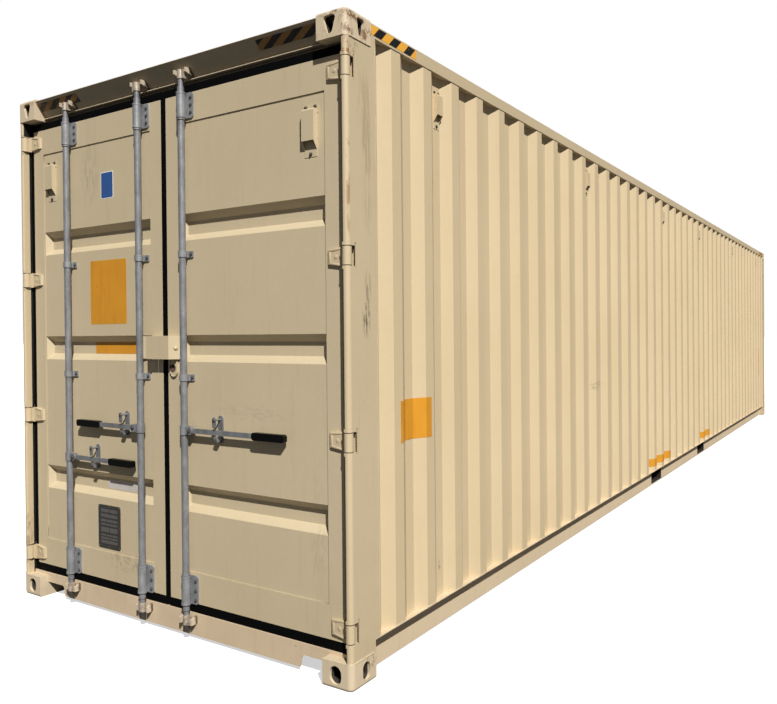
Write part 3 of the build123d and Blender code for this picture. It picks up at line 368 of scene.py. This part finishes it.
def bead(bm, points, radius, step=0.012, sides=6, seed=1):
    """A weld bead along a path, uneven as a hand-laid one is."""
    rng = random.Random(seed)
    path = [Vector(p) for p in points]
    stations = []
    for a, b in zip(path, path[1:]):
        count = max(1, int((b - a).length / step))
        stations += [a.lerp(b, k / count) for k in range(count)]
    stations.append(path[-1])
    rings = []
    for k, point in enumerate(stations):
        ahead = stations[min(k + 1, len(stations) - 1)]
        behind = stations[max(k - 1, 0)]
        along = (ahead - behind).normalized()
        side = along.orthogonal().normalized()
        up = along.cross(side)
        swell = radius * (0.85 + 0.3 * rng.random())
        if k in (0, len(stations) - 1):
            swell *= 0.3
        rings.append([bm.verts.new(point + swell * (math.cos(t) * side + math.sin(t) * up))
                      for t in (2 * math.pi * n / sides for n in range(sides))])
    skin_rings(bm, rings)


weld_paint = paint("weld_paint", (0.55, 0.45, 0.30), wear=0.8, dirt=0.5, bump=0.6, roughness=0.55,
                   stains=0.5, rust=0.1)
flank, closed_face, sill_end = 1.2165, 6.0935, 1.0555
casting_inner, joint_reach = 5.9175, 5.920
casting_edges = (0.118, 2.778)
rail_low, rail_high = 2.826, 2.882
bm = bmesh.new()
number = 0
for sx in (-1, 1):
    for z in casting_edges:
        rear_joint = [(sx * 1.186, -6.0925, z), (sx * 1.196, -6.0925, z), (sx * 1.2095, -6.0865, z),
                      (sx * flank, -6.070, z), (sx * flank, -joint_reach, z)]
        closed_joint = [(sx * 1.101, closed_face, z), (sx * flank, closed_face, z),
                        (sx * flank, joint_reach, z)]
        for path in (rear_joint, closed_joint):
            number += 1
            bead(bm, path, 0.0042, seed=number)
    for end in (-1, 1):
        number += 1
        rail_y = end * casting_inner
        bead(bm, [(sx * flank, rail_y, rail_low), (sx * flank, rail_y, rail_high)], 0.004, seed=number)
        bead(bm, [(sx * flank, rail_y, rail_high), (sx * 1.158, rail_y, 2.8845)], 0.004, seed=number)
    bead(bm, [(sx * sill_end, -6.044, 0.118), (sx * sill_end, -6.044, 0.084)], 0.004, seed=number + 40)
    bead(bm, [(sx * sill_end, -6.085, 2.876), (sx * sill_end, -6.022, 2.798)], 0.004, seed=number + 50)
keep("frame_welds", bm, weld_paint, "frame")


# Header drip strip
# A folded steel strip welded along the lip of the header, which throws rain clear of the
# seals. Its paint is paler than the header's and worn along the edge.
def plate_box(bm, low, high, edge=0.0008):
    """A plate between two corners, with its edges broken."""
    made = bmesh.ops.create_cube(bm, size=1.0)
    for vert in made["verts"]:
        vert.co = Vector([a + (b - a) * (c + 0.5) for a, b, c in zip(low, high, vert.co)])
    sides = {side for vert in made["verts"] for side in vert.link_edges}
    bmesh.ops.bevel(bm, geom=list(sides), offset=edge, segments=1, affect="EDGES")


drip_paint = paint("drip_paint", (0.66, 0.54, 0.38), wear=0.9, dirt=0.1, bump=0.3, stains=0.5, rust=0.05)
strip_end, strip_low, strip_high = 1.0565, 2.7893, 2.7938
bm = bmesh.new()
plate_box(bm, (-strip_end, door_end + 0.0605, strip_low), (strip_end, door_end + 0.0802, strip_high),
          0.0010)
keep("header_drip_strip", bm, drip_paint, "frame", smooth=False)


# Cam keepers
# Forged ears on the header and the sill that catch the cams of the rods. Each is welded down
# both flanks, and their rear parts are painted dark brown, as shade.
def keeper_rear_shade(look, colour):
    """Painted shade: the rear parts of the keepers, from 44 to 52 mm behind the door end back, are dark
    brown.
    """
    ragged = look.math("ADD", look.y, look.times(look.noise(40.0, 4.0), 0.02))
    deep = look.ramp(ragged, door_end + 0.044, door_end + 0.052)
    return look.over(look.times(deep, 0.9), colour, (0.085, 0.058, 0.040, 1))


keeper_paint = paint("keeper_paint", (0.56, 0.47, 0.35), wear=0.9, dirt=0.3, bump=0.4, stains=0.5, rust=0.3,
                     extra=keeper_rear_shade)
dress(keeper_paint, "cam_keepers")
# Each rod: its x, the way its handle points, and its leaf.
rods = ((-0.790, 1, "left_leaf"), (-0.168, -1, "left_leaf"), (0.168, 1, "right_leaf"))
ear_offset, ear_flank = 0.0413, 0.0062
bm = bmesh.new()
for number, (rod_x, way, leaf) in enumerate(rods):
    for ear in (-1, 1):
        for side in (-1, 1):
            x = rod_x + ear * ear_offset + side * ear_flank
            bead(bm, [(x, -6.0455, 0.083), (x, -6.0455, 0.123)], 0.003, step=0.006, seed=90 + number)
            bead(bm, [(x, -6.0165, 2.798), (x, -6.052, 2.8385)], 0.003, step=0.006, seed=95 + number)
keep("keeper_welds", bm, keeper_paint.copy(), "frame")

# Underframe
# Pressed steel channels welded between the bottom rails, with a tunnel for the trailer's neck
# at the closed end, painted and then sprayed with dark underseal.
underseal = paint("underseal", (0.045, 0.042, 0.038), wear=0.0, dirt=0.9, bump=0.6, roughness=0.8)
dress(underseal, "cross_members", "gooseneck_tunnel")

# Forklift pockets
# Two welded plate tubes right across the base, open underneath except for a strap at each end,
# and flush with the webs of the side rails. They are near black all over, with patches of rust.
pocket_near_black = paint("pocket_near_black", (0.022, 0.018, 0.015), wear=0.0, dirt=0.3, bump=0.5, roughness=0.75,
                    rust=0.35)
low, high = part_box("forklift_pockets")
reach, wall, strap, inner = 1.1545, 0.004, 1.016, 0.180
bm = bmesh.new()
for middle in (-1.025, 1.025):
    plate_box(bm, (-reach, middle - inner - wall, high[2] - wall), (reach, middle + inner + wall, high[2]))
    for side in (-1, 1):
        y_low, y_high = sorted((middle + side * inner, middle + side * (inner + wall)))
        plate_box(bm, (-reach, y_low, low[2]), (reach, y_high, high[2] - wall))
        x_low, x_high = sorted((side * strap, side * reach))
        plate_box(bm, (x_low, middle - inner, low[2]), (x_high, middle + inner, low[2] + wall))
pockets = keep("forklift_pocket_tubes", bm, pocket_near_black, "frame", smooth=False)
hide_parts("forklift_pockets")


# Floor boards
# Hardwood plywood sheets, laid across in two rows, screwed down to the cross members and
# oiled. The joints between them are black with dirt.
def board_joints(look, colour):
    """Wood grain, and black joints between the boards and down the middle of the floor."""
    board_width = 1.22
    rows = look.math("FRACT", look.math("DIVIDE", look.y, board_width))
    joint = look.math("ABSOLUTE", look.math("SUBTRACT", rows, 0.5))
    line = look.math("GREATER_THAN", joint, 0.4975)
    middle = look.math("LESS_THAN", look.math("ABSOLUTE", look.x), 0.003)
    grain = look.ramp(look.noise(9.0, 6.0, 0.7, (0.6, 9.0, 1)), 0.35, 0.7)
    colour = look.over(look.times(grain, 0.5), colour, (0.12, 0.055, 0.025, 1))
    return look.over(look.math("MAXIMUM", line, middle), colour, (0.02, 0.014, 0.010, 1))


plywood = paint("plywood", (0.24, 0.12, 0.055), wear=0.0, dirt=0.2, bump=0.2, roughness=0.55,
                extra=board_joints)
dress(plywood, "floor_boards")

# Corrugated walls and roof
# Weathering steel sheet pressed into trapezoid waves and welded all round to the frame. A few
# knocks have taken the paint off, and the ventilator covers are painted over with the walls.
knocks = (
    ((1.20, -5.30, 0.33), (0.05, 0.018, 0.035), (0.05, 0.035, 0.02, 1), 0.9, (1, 1, 1)),
    ((1.20, -4.47, 0.42), (0.05, 0.030, 0.020), (0.08, 0.06, 0.04, 1), 0.8, (1, 1, 1)),
    ((1.20, -2.9, 1.10), (0.05, 0.20, 0.05), (0.25, 0.19, 0.12, 1), 0.6, (1, 0.6, 4)),
    ((-1.20, -1.0, 0.8), (0.05, 0.30, 0.06), (0.25, 0.19, 0.12, 1), 0.6, (1, 0.6, 4)),
)
wall_paint = paint("wall_paint", (0.622, 0.494, 0.312), wear=0.12, dirt=0.2, bump=0.22, roughness=0.48,
                   stains=0.12, scuffs=knocks)
dress(wall_paint, "side_wall_left", "side_wall_right", "front_wall", "roof_panel", "side_ventilators")

pitch, crest, slope, wave_depth, phase = 0.278, 0.074, 0.068, 0.036, -0.016
valley = pitch - crest - 2 * slope
wall_face = 1.2135
bm = bmesh.new()
for sx in (-1, 1):
    for z, radius in ((0.1735, 0.0028), (2.8235, 0.0025)):
        path = []
        for k in range(-21, 22):
            for run, deep in ((-valley / 2 - slope, 0.0), (-valley / 2, wave_depth),
                              (valley / 2, wave_depth), (valley / 2 + slope, 0.0)):
                y = k * pitch + phase + run
                if -5.88 < y < 5.91:
                    path.append((sx * (wall_face - deep), y, z))
        bead(bm, path, radius, step=0.05, sides=4, seed=70 + sx)
    for y, seed in ((-5.8825, 75), (casting_inner, 76)):
        bead(bm, [(sx * 1.2145, y, 0.175), (sx * 1.2145, y, 2.82)], 0.003, step=0.05, sides=4, seed=seed)
keep("wall_welds", bm, weld_paint, "frame")

# Doors
# Two leaves, each a welded tube frame with a pressed sheet let into it. Each carries half of
# the lock box and a small ventilator cover, all sprayed the same tan.
door_marks = (
    ((-0.62, -6.04, 2.42), (0.10, 0.05, 0.20), (0.26, 0.20, 0.13, 1), 0.35, (3, 1, 0.4)),
    ((0.60, -6.04, 1.15), (0.30, 0.05, 0.05), (0.28, 0.21, 0.14, 1), 0.18, (0.7, 1, 2)),
    ((1.00, -6.04, 0.60), (0.06, 0.05, 0.30), (0.30, 0.22, 0.14, 1), 0.22, (3, 1, 0.5)),
    ((-0.30, -6.04, 0.30), (0.25, 0.05, 0.06), (0.25, 0.18, 0.11, 1), 0.4, (1, 1, 1)),
)


def leaf_edges_and_tab_hole_shade(look, colour):
    """The outer edges of the leaves are black, as their seals and as painted shade in the gaps beside the
    posts; a dark patch behind the tab's hole is painted shade.
    """
    edge = look.math("GREATER_THAN", look.math("ABSOLUTE", look.x), 1.1485)
    colour = look.over(edge, colour, gap_black_and_shade)
    return look.over(look.near((0.060, -6.044, 1.352), (0.030, 0.03, 0.026), 0.7), colour,
                     (0.10, 0.055, 0.045, 1))


door_paint = paint("door_paint", (0.572, 0.472, 0.312), wear=0.2, dirt=0.22, bump=0.2, roughness=0.46,
                   stains=0.2, scuffs=door_marks, extra=leaf_edges_and_tab_hole_shade)
dress(door_paint, "door_frame_left", "door_frame_right", "door_panel_left", "door_panel_right",
      "door_ventilator_left", "door_ventilator_right", "lock_box_left", "lock_box_right")
leaves = (("left_leaf", -1), ("right_leaf", 1))
hinge_heights = (0.244, 1.058, 1.851, 2.652)


# Hinge blades
# Four forgings on each leaf, bent round the pins between the lugs of the posts. Each has a
# raised rim on three sides and a flat round plug weld in the middle of the sunk part.
def barrel_grease(look, colour):
    """Old grease and rust creep out between the barrels and the lugs."""
    barrel = look.math("GREATER_THAN", look.math("ABSOLUTE", look.x), 1.170)
    for height in hinge_heights:
        ring = look.times(barrel, look.inside(look.z, height, 0.0445))
        core = look.times(barrel, look.inside(look.z, height, 0.0392))
        colour = look.over(look.math("SUBTRACT", ring, core), colour, (0.075, 0.045, 0.030, 1))
    return colour


def pad(bm, middle, across, up, wide, tall, thick, corner=0.004, steps=3):
    """A rounded rectangular plate with a small edge bevel, lying on a surface."""
    across = Vector(across).normalized()
    up = Vector(up).normalized()
    normal = across.cross(up)
    outline = []
    for n in range(4):
        cx = (wide / 2 - corner) * (1 if n in (0, 3) else -1)
        cy = (tall / 2 - corner) * (1 if n in (0, 1) else -1)
        for k in range(steps + 1):
            t = math.pi / 2 * (n + k / steps)
            outline.append((cx + corner * math.cos(t), cy + corner * math.sin(t)))
    rings = []
    for inset, height in ((0.0, 0.0), (0.0, thick * 0.7), (thick * 0.35, thick)):
        su = 1 - inset / (wide / 2)
        sv = 1 - inset / (tall / 2)
        rings.append([bm.verts.new(Vector(middle) + u * su * across + v * sv * up + height * normal)
                      for u, v in outline])
    skin_rings(bm, rings)


def disc(bm, middle, normal, profile, sides, turn=0.0):
    """A turned or hexagonal head: (radius, height) rings stacked along the normal."""
    normal = Vector(normal).normalized()
    side = normal.orthogonal().normalized()
    up = normal.cross(side)
    angles = [turn + 2 * math.pi * n / sides for n in range(sides)]
    rings = []
    for radius, height in profile:
        rings.append([bm.verts.new(Vector(middle) + height * normal
                                   + radius * (math.cos(t) * side + math.sin(t) * up)) for t in angles])
    skin_rings(bm, rings)


hinge_paint = paint("hinge_paint", tan, wear=0.9, dirt=0.4, bump=0.35, stains=0.6, rust=0.12,
                    extra=barrel_grease)
dress(hinge_paint, "hinge_blades_left", "hinge_blades_right")
front, right, up_z = (0, -1, 0), (1, 0, 0), (0, 0, 1)
blade_y = door_end + 0.0421
rim_height = 0.0021
for leaf, sx in leaves:
    bm = bmesh.new()
    for z in hinge_heights:
        for way in (-1, 1):
            tilt = 0.141 * sx * way
            pad(bm, (sx * 1.118, blade_y, z + way * 0.0315), (1, 0, tilt), (-tilt, 0, 1), 0.070, 0.009,
                rim_height, corner=0.003)
        pad(bm, (sx * 1.088, blade_y, z), right, up_z, 0.011, 0.048, rim_height, corner=0.003)
        disc(bm, (sx * 1.121, blade_y, z), front, [(0.010, 0.0), (0.010, 0.0009), (0.0085, 0.0014)], 20)
    keep(f"{leaf}_hinge_rims", bm, hinge_paint, leaf)

# Panel sealant
# A thin bead of sealant, run by hand round each door panel where it meets the tube frame,
# and painted over.
sealant = paint("sealant", (0.46, 0.38, 0.25), wear=0.3, dirt=0.5, bump=0.3, roughness=0.5, stains=0.6)
panel_inner, panel_outer, panel_low, panel_high = 0.1075, 1.0565, 0.3355, 2.5815
for leaf, sx in leaves:
    bm = bmesh.new()
    corners = [(panel_inner, panel_low), (panel_outer, panel_low), (panel_outer, panel_high),
               (panel_inner, panel_high), (panel_inner, panel_low)]
    bead(bm, [(sx * x, door_end + 0.0562, z) for x, z in corners], 0.0030, step=0.06, sides=5, seed=31)
    keep(f"{leaf}_sealant", bm, sealant, leaf)

# Door seals
# Extruded black rubber, clamped round the edge of each leaf, that closes the gaps between the
# leaves and the frame.
rubber = paint("seal_rubber", (0.0022, 0.0024, 0.0026), wear=0.0, dirt=0.15, bump=0.2, roughness=0.75,
               stains=0.0)
rubber.node_tree.nodes["Principled BSDF"].inputs["Specular IOR Level"].default_value = 0.05
dress(rubber, "door_gasket_left", "door_gasket_right")


# Lock rods, handles and catches
# Galvanised steel tube with forged cams, in bearings bolted to the leaves. The zinc has gone
# dull and patchy, and the cams have lost it and are pale with paint and rust.
def zinc(name, base, rust=0.2, cams=False):
    """Dull zinc: cloudy patches, spangle, streaks and rust, and painted cams on the rods."""
    look = Look(name)
    r, g, b = base
    colour = look.over(look.ramp(look.noise(22.0, 5.0, 0.6, (1, 1, 0.5)), 0.35, 0.65),
                       (r * 0.72, g * 0.72, b * 0.73, 1), (r * 1.12, g * 1.12, b * 1.13, 1))
    cells = look.add("ShaderNodeTexVoronoi")
    cells.inputs["Scale"].default_value = 120.0
    look.link(look.place, cells.inputs["Vector"])
    colour = look.over(look.ramp(cells.outputs["Distance"], 0.2, 0.7, 0.0, 0.25), colour,
                       (r * 0.6, g * 0.6, b * 0.62, 1))
    streak = look.times(look.ramp(look.noise(14.0, 5.0, 0.65, (3, 3, 0.4)), 0.58, 0.72), 0.5)
    colour = look.over(streak, colour, (0.17, 0.15, 0.13, 1))
    patch = look.times(look.ramp(look.noise(45.0, 5.0, 0.7), 0.62, 0.70), rust)
    colour = look.over(patch, colour, (0.19, 0.085, 0.035, 1))
    if cams:
        upper = look.math("GREATER_THAN", look.z, 2.786)
        lower = look.inside(look.z, 0.104, 0.0235)
        foot = look.math("LESS_THAN", look.z, 0.080)
        both = look.math("MAXIMUM", upper, lower)
        colour = look.over(both, colour, (0.50, 0.42, 0.33, 1))
        colour = look.over(foot, colour, (0.06, 0.052, 0.047, 1))
        flake = look.times(look.ramp(look.noise(70.0, 4.0, 0.7), 0.54, 0.60), both)
        colour = look.over(look.times(flake, 0.8), colour, (0.16, 0.10, 0.065, 1))
    look.skin.inputs["Metallic"].default_value = 0.35
    return look.finish(colour, 0.5, 0.3, grain=180.0, dents=30.0)


rod_zinc = zinc("rod_zinc", (0.275, 0.278, 0.29), rust=0.15, cams=True)
dress(rod_zinc, "lock_rod_1", "lock_rod_2", "lock_rod_3")
bracket_zinc = zinc("bracket_zinc", (0.33, 0.337, 0.345), rust=0.5)
dress(bracket_zinc, "door_hardware_left", "door_hardware_right")
handle_zinc = zinc("handle_zinc", (0.245, 0.25, 0.255), rust=0.35)
dress(handle_zinc, "handle_1", "handle_2", "handle_3", "catch_latch_1", "catch_latch_2",
      "catch_latch_3", "handle_catches_left", "handle_catch_right")

# Handle grips
# Black rubber sleeves, moulded with a rounded end and pushed over the ends of the flat handle
# bars, where a hand takes hold.
grip_rubber = paint("grip_rubber", (0.0020, 0.0018, 0.0018), wear=0.0, dirt=0.0, bump=0.1, roughness=0.35,
                    stains=0.0)
grip_rubber.node_tree.nodes["Principled BSDF"].inputs["Specular IOR Level"].default_value = 0.2
dress(grip_rubber, "handle_grip_1", "handle_grip_2", "handle_grip_3")


# Bolts of the lock gear
# Hexagon bolts with washers, gone dark, hold the bearings, the guides and the catches and
# pass through the clevises. A dome-headed rivet carries each catch latch.
def bolt(bm, middle, normal, radius, turn=0.0):
    """A hexagon head on a washer."""
    tall = radius * 0.75
    disc(bm, middle, normal, [(radius * 1.35, -0.0003), (radius * 1.35, radius * 0.22),
                              (radius * 1.22, radius * 0.30)], 16)
    top = Vector(middle) + Vector(normal).normalized() * radius * 0.28
    disc(bm, top, normal, [(radius, 0.0), (radius, tall * 0.85), (radius * 0.82, tall)], 6, turn)


def dome(bm, middle, normal, radius):
    """The round head of a rivet."""
    disc(bm, middle, normal, [(radius, -0.0003), (radius, radius * 0.15), (radius * 0.85, radius * 0.42),
                              (radius * 0.5, radius * 0.62), (radius * 0.12, radius * 0.68)], 12)


# Each handle: its height, and how far its catch is from its rod.
handles = ((0.842, 0.218), (1.038, 0.147), (1.048, 0.225))
bearing_bolts, bearing_side = (0.200, 0.247, 0.294, 2.622, 2.659, 2.696), 0.046
guide_bolts, guide_side = (1.308, 1.922), 0.0325
pivot = 0.048
bolt_zinc = zinc("bolt_zinc", (0.11, 0.105, 0.10), rust=0.9)
for leaf, sx in leaves:
    bm = bmesh.new()
    for (rod_x, way, owner), (handle_z, offset) in zip(rods, handles):
        if owner != leaf:
            continue
        for z in bearing_bolts:
            bolt(bm, (rod_x + bearing_side, door_end + 0.045, z), front, 0.0065, turn=z * 7)
        for z in guide_bolts:
            bolt(bm, (rod_x + guide_side, door_end + 0.050, z), front, 0.0065, turn=z * 5)
        middle = rod_x + way * offset
        bolt(bm, (middle, door_end + 0.052, handle_z - 0.040), front, 0.0055, turn=0.3)
    keep(f"{leaf}_bolts", bm, bolt_zinc, leaf, smooth=False)
for number, ((rod_x, way, leaf), (handle_z, offset)) in enumerate(zip(rods, handles), 1):
    bm = bmesh.new()
    bolt(bm, (rod_x + way * pivot, door_end + 0.0112, handle_z), front, 0.0085, turn=0.2)
    bolt(bm, (rod_x + way * pivot, door_end + 0.0368, handle_z), (0, 1, 0), 0.008, turn=0.5)
    keep(f"lock_rod_{number}_hub_bolt", bm, bolt_zinc, f"lock_rod_{number}",
         smooth=False)
    bm = bmesh.new()
    dome(bm, (rod_x + way * offset, door_end + 0.0102, handle_z + 0.062), front, 0.0095)
    keep(f"catch_latch_{number}_rivet", bm, bolt_zinc, f"catch_latch_{number}")

# Screws of the covers and the data plate
# Hexagon screws hold the ventilator covers on the leaves and on the side walls, and small
# dome-headed rivets hold the data plate. All have rusted.
screw_steel = zinc("screw_steel", (0.10, 0.088, 0.076), rust=0.9)
panel_face = door_end + 0.055
for leaf, sx in leaves:
    bm = bmesh.new()
    for x, z in ((0.949, 2.521), (1.003, 2.521), (0.976, 2.314)):
        bolt(bm, (sx * x, panel_face, z), front, 0.0068, turn=x)
    if leaf == "left_leaf":
        for x in (-0.567, -0.4825, -0.398):
            for z in (0.364, 0.580):
                dome(bm, (x, panel_face, z), front, 0.0045)
        for x in (-0.570, -0.395):
            dome(bm, (x, panel_face, 0.472), front, 0.004)
    keep(f"{leaf}_screws", bm, screw_steel, leaf)
bm = bmesh.new()
for sx in (-1, 1):
    for step in (3, 11, 19):
        for way in (-1, 1):
            y = way * step * pitch + phase
            for along, z in ((-0.019, 2.745), (0.019, 2.745), (0.0, 2.575)):
                bolt(bm, (sx * 1.179, y + along, z), (sx, 0, 0), 0.0062, turn=y)
keep("side_ventilator_screws", bm, screw_steel, "frame")

# Lock box plug and edges
# A punched plug closes the key hole in the slanted side of the box. A weld bead stiffens the
# rim of the padlock tab, and a bent plate closes the left end over the groove in the panel.
bm = bmesh.new()
dome(bm, (0.1033, door_end + 0.0300, 1.455), (0.775, -0.632, 0), 0.011)
keep("lock_box_plug", bm, hinge_paint, "right_leaf")
tab_x, tab_z, tab_top, tab_radius = 0.069, 1.337, 1.396, 0.0255
rim = [(tab_x - tab_radius, tab_top), (tab_x - tab_radius, tab_z)]
rim += [(tab_x - tab_radius * math.cos(math.pi * k / 12), tab_z - tab_radius * math.sin(math.pi * k / 12))
        for k in range(1, 12)]
rim += [(tab_x + tab_radius, tab_z), (tab_x + tab_radius, tab_top)]
bm = bmesh.new()
bead(bm, [(x, door_end + 0.0440, z) for x, z in rim], 0.0032, step=0.006, sides=8, seed=51)
keep("padlock_tab_rim", bm, door_paint, "right_leaf")
section = ((-0.117, 0.0518), (-0.150, 0.0518), (-0.170, 0.0455), (-0.1695, 0.0425), (-0.149, 0.0482),
           (-0.117, 0.0482))
bm = bmesh.new()
skin_rings(bm, [[bm.verts.new((x, door_end + deep, z)) for x, deep in section] for z in (1.3995, 1.5165)])
keep("lock_box_end_plate", bm, door_paint, "left_leaf", smooth=False)


# Panel decals
# Sheets of coloured film pressed onto the left leaf, with rounded corners, dusty and faded.
# The orange ones are cut round the groove, and the blue one has a pale border.
def film(name, base, dirt=0.35, roughness=0.4):
    """Coloured film, faded unevenly, streaked and specked with dirt."""
    look = Look(name)
    r, g, b = base
    colour = look.over(look.ramp(look.noise(5.0, 4.0), 0.3, 0.7), (r * 0.90, g * 0.88, b * 0.85, 1),
                       (r, g, b, 1))
    streak = look.times(look.ramp(look.noise(8.0, 5.0, 0.65, (4, 4, 0.4)), 0.5, 0.75), dirt)
    colour = look.over(streak, colour, (r * 0.55, g * 0.50, b * 0.45, 1))
    speck = look.times(look.ramp(look.noise(60.0, 3.0), 0.70, 0.73), 0.5)
    colour = look.over(speck, colour, (0.12, 0.09, 0.06, 1))
    return look.finish(colour, roughness, 0.1)


def decal(name, middle, across, up, wide, tall, look, body, corner=0.006):
    """A thin flat sheet with rounded corners, stuck on a face."""
    bm = bmesh.new()
    pad(bm, middle, across, up, wide, tall, 0.0006, corner)
    return keep(name, bm, look, body, smooth=False)


orange_film = film("orange_film", (0.66, 0.29, 0.022))
blue_film = film("blue_film", (0.03, 0.095, 0.30))
white_film = film("white_film", (0.55, 0.52, 0.50))
border_film = film("border_film", (0.80, 0.80, 0.80), dirt=0.15)
panel_y = door_end + 0.057
groove_y = panel_y + 0.036
decal("height_plate", (-0.4705, panel_y, 1.759), right, up_z, 0.311, 0.350, orange_film, "left_leaf")
decal("height_strip", (-0.4355, groove_y, 1.453), right, up_z, 0.399, 0.064, orange_film, "left_leaf")
decal("blue_plate_border", (-0.471, panel_y, 2.3415), right, up_z, 0.108, 0.146, border_film, "left_leaf")
decal("blue_plate", (-0.471, panel_y - 0.0005, 2.3415), right, up_z, 0.098, 0.137, blue_film, "left_leaf")
decal("pill_label", (-0.416, groove_y, 0.7005), right, up_z, 0.252, 0.051, white_film, "left_leaf",
      corner=0.025)


# Safety stripes
# Yellow and black tape on the header and on the top rails beside all four corners, so that
# the height of the box is seen. It is worn through to the paint in places.
def stripe_tape(name, axis, slant, shift, yellow):
    """Slanting yellow and black bars, worn through to the paint in patches."""
    look = Look(name)
    pair_width = 0.12
    run = {"x": look.x, "y": look.y}[axis]
    shifted = look.math("SUBTRACT", look.math("ADD", run, shift), look.times(look.z, slant))
    wave = look.math("FRACT", look.times(shifted, 1 / pair_width))
    bar = look.math("GREATER_THAN", wave, 0.5)
    colour = look.over(bar, yellow, (0.008, 0.008, 0.009, 1))
    worn = look.times(look.ramp(look.noise(30.0, 5.0, 0.7), 0.60, 0.66), 0.7)
    colour = look.over(worn, colour, (0.40, 0.31, 0.19, 1))
    return look.finish(colour, 0.5, 0.1)


# The header's tape has a much darker yellow than the rails': painted shade under the header's brow.
shaded_header_tape = stripe_tape("shaded_header_tape", "x", 2.6, 0.0, (0.30, 0.15, 0.035, 1))
rail_tape = stripe_tape("rail_tape", "y", 1.0, 0.029, (0.82, 0.40, 0.045, 1))
lean = Vector((0, -0.074, 0.086)).normalized()
off_header = Vector((0, -0.086, -0.074)).normalized() * 0.0002
for sx, side_name in ((-1, "left"), (1, "right")):
    spot = Vector((sx * 0.869, door_end + 0.033, 2.8486)) + off_header
    decal(f"header_stripes_{side_name}", spot, right, lean, 0.372, 0.050, shaded_header_tape, "frame", corner=0.002)
    for y, end in ((-5.730, "rear"), (5.730, "front")):
        decal(f"top_rail_stripes_{end}_{side_name}", (sx * 1.2161, y, 2.856), (0, sx, 0), up_z, 0.376,
              0.044, rail_tape, "frame", corner=0.002)


# Side decals
# Orange film pressed over the waves of the right side wall: a square near the doors, a strip
# above each forklift pocket and a tall one at the closed end.
def wall_film(name, start, end, low, high):
    """A sheet of film between two distances from the doors, following the wall's waves."""
    knots = [start, end]
    for k in range(-22, 23):
        for run in (-valley / 2 - slope, -valley / 2, valley / 2, valley / 2 + slope):
            y = k * pitch + phase + run - door_end
            if start < y < end:
                knots.append(y)
    bm = bmesh.new()
    strips = []
    for y in sorted(knots):
        off = abs((y + door_end - phase + pitch / 2) % pitch - pitch / 2)
        x = wall_face - wave_depth * min(1.0, max(0.0, (valley / 2 + slope - off) / slope))
        strips.append([bm.verts.new((x + lift, y + door_end, z))
                       for lift, z in ((0.0, low), (0.0006, low), (0.0006, high), (0.0, high))])
    skin_rings(bm, strips)
    return keep(name, bm, orange_film, "frame", smooth=False)


wall_film("side_height_film", 0.397, 0.671, 1.008, 1.204)
wall_film("pocket_film_rear", 4.70, 5.40, 0.215, 0.290)
wall_film("pocket_film_front", 6.85, 7.50, 0.215, 0.290)
wall_film("far_end_film", 11.50, 11.68, 0.72, 1.20)

# Data plate
# An anodised metal plate with rounded corners, riveted low on the left leaf. Rows of plain
# raised fields stand on it.
plate_metal = paint("plate_metal", (0.042, 0.040, 0.037), wear=0.3, dirt=0.3, bump=0.2, roughness=0.45,
                    stains=0.5)
dress(plate_metal, "data_plate")
field_metal = paint("field_metal", (0.105, 0.10, 0.095), wear=0.5, dirt=0.3, bump=0.2, roughness=0.4,
                    stains=0.5)
plate_x, fields_wide, field_gap = -0.4825, 0.150, 0.006
rows = [(0.560, 0.018, 2), (0.532, 0.018, 1), (0.505, 0.014, 3), (0.484, 0.010, 1), (0.455, 0.026, 2),
        (0.425, 0.010, 3), (0.408, 0.010, 2), (0.388, 0.016, 1)]
bm = bmesh.new()
for z, tall, count in rows:
    wide = fields_wide / count
    for k in range(count):
        x = plate_x - fields_wide / 2 + wide * (k + 0.5)
        pad(bm, (x, panel_face, z), right, up_z, wide - field_gap, tall, 0.0008, corner=0.002)
keep("data_plate_fields", bm, field_metal, "left_leaf", smooth=False)
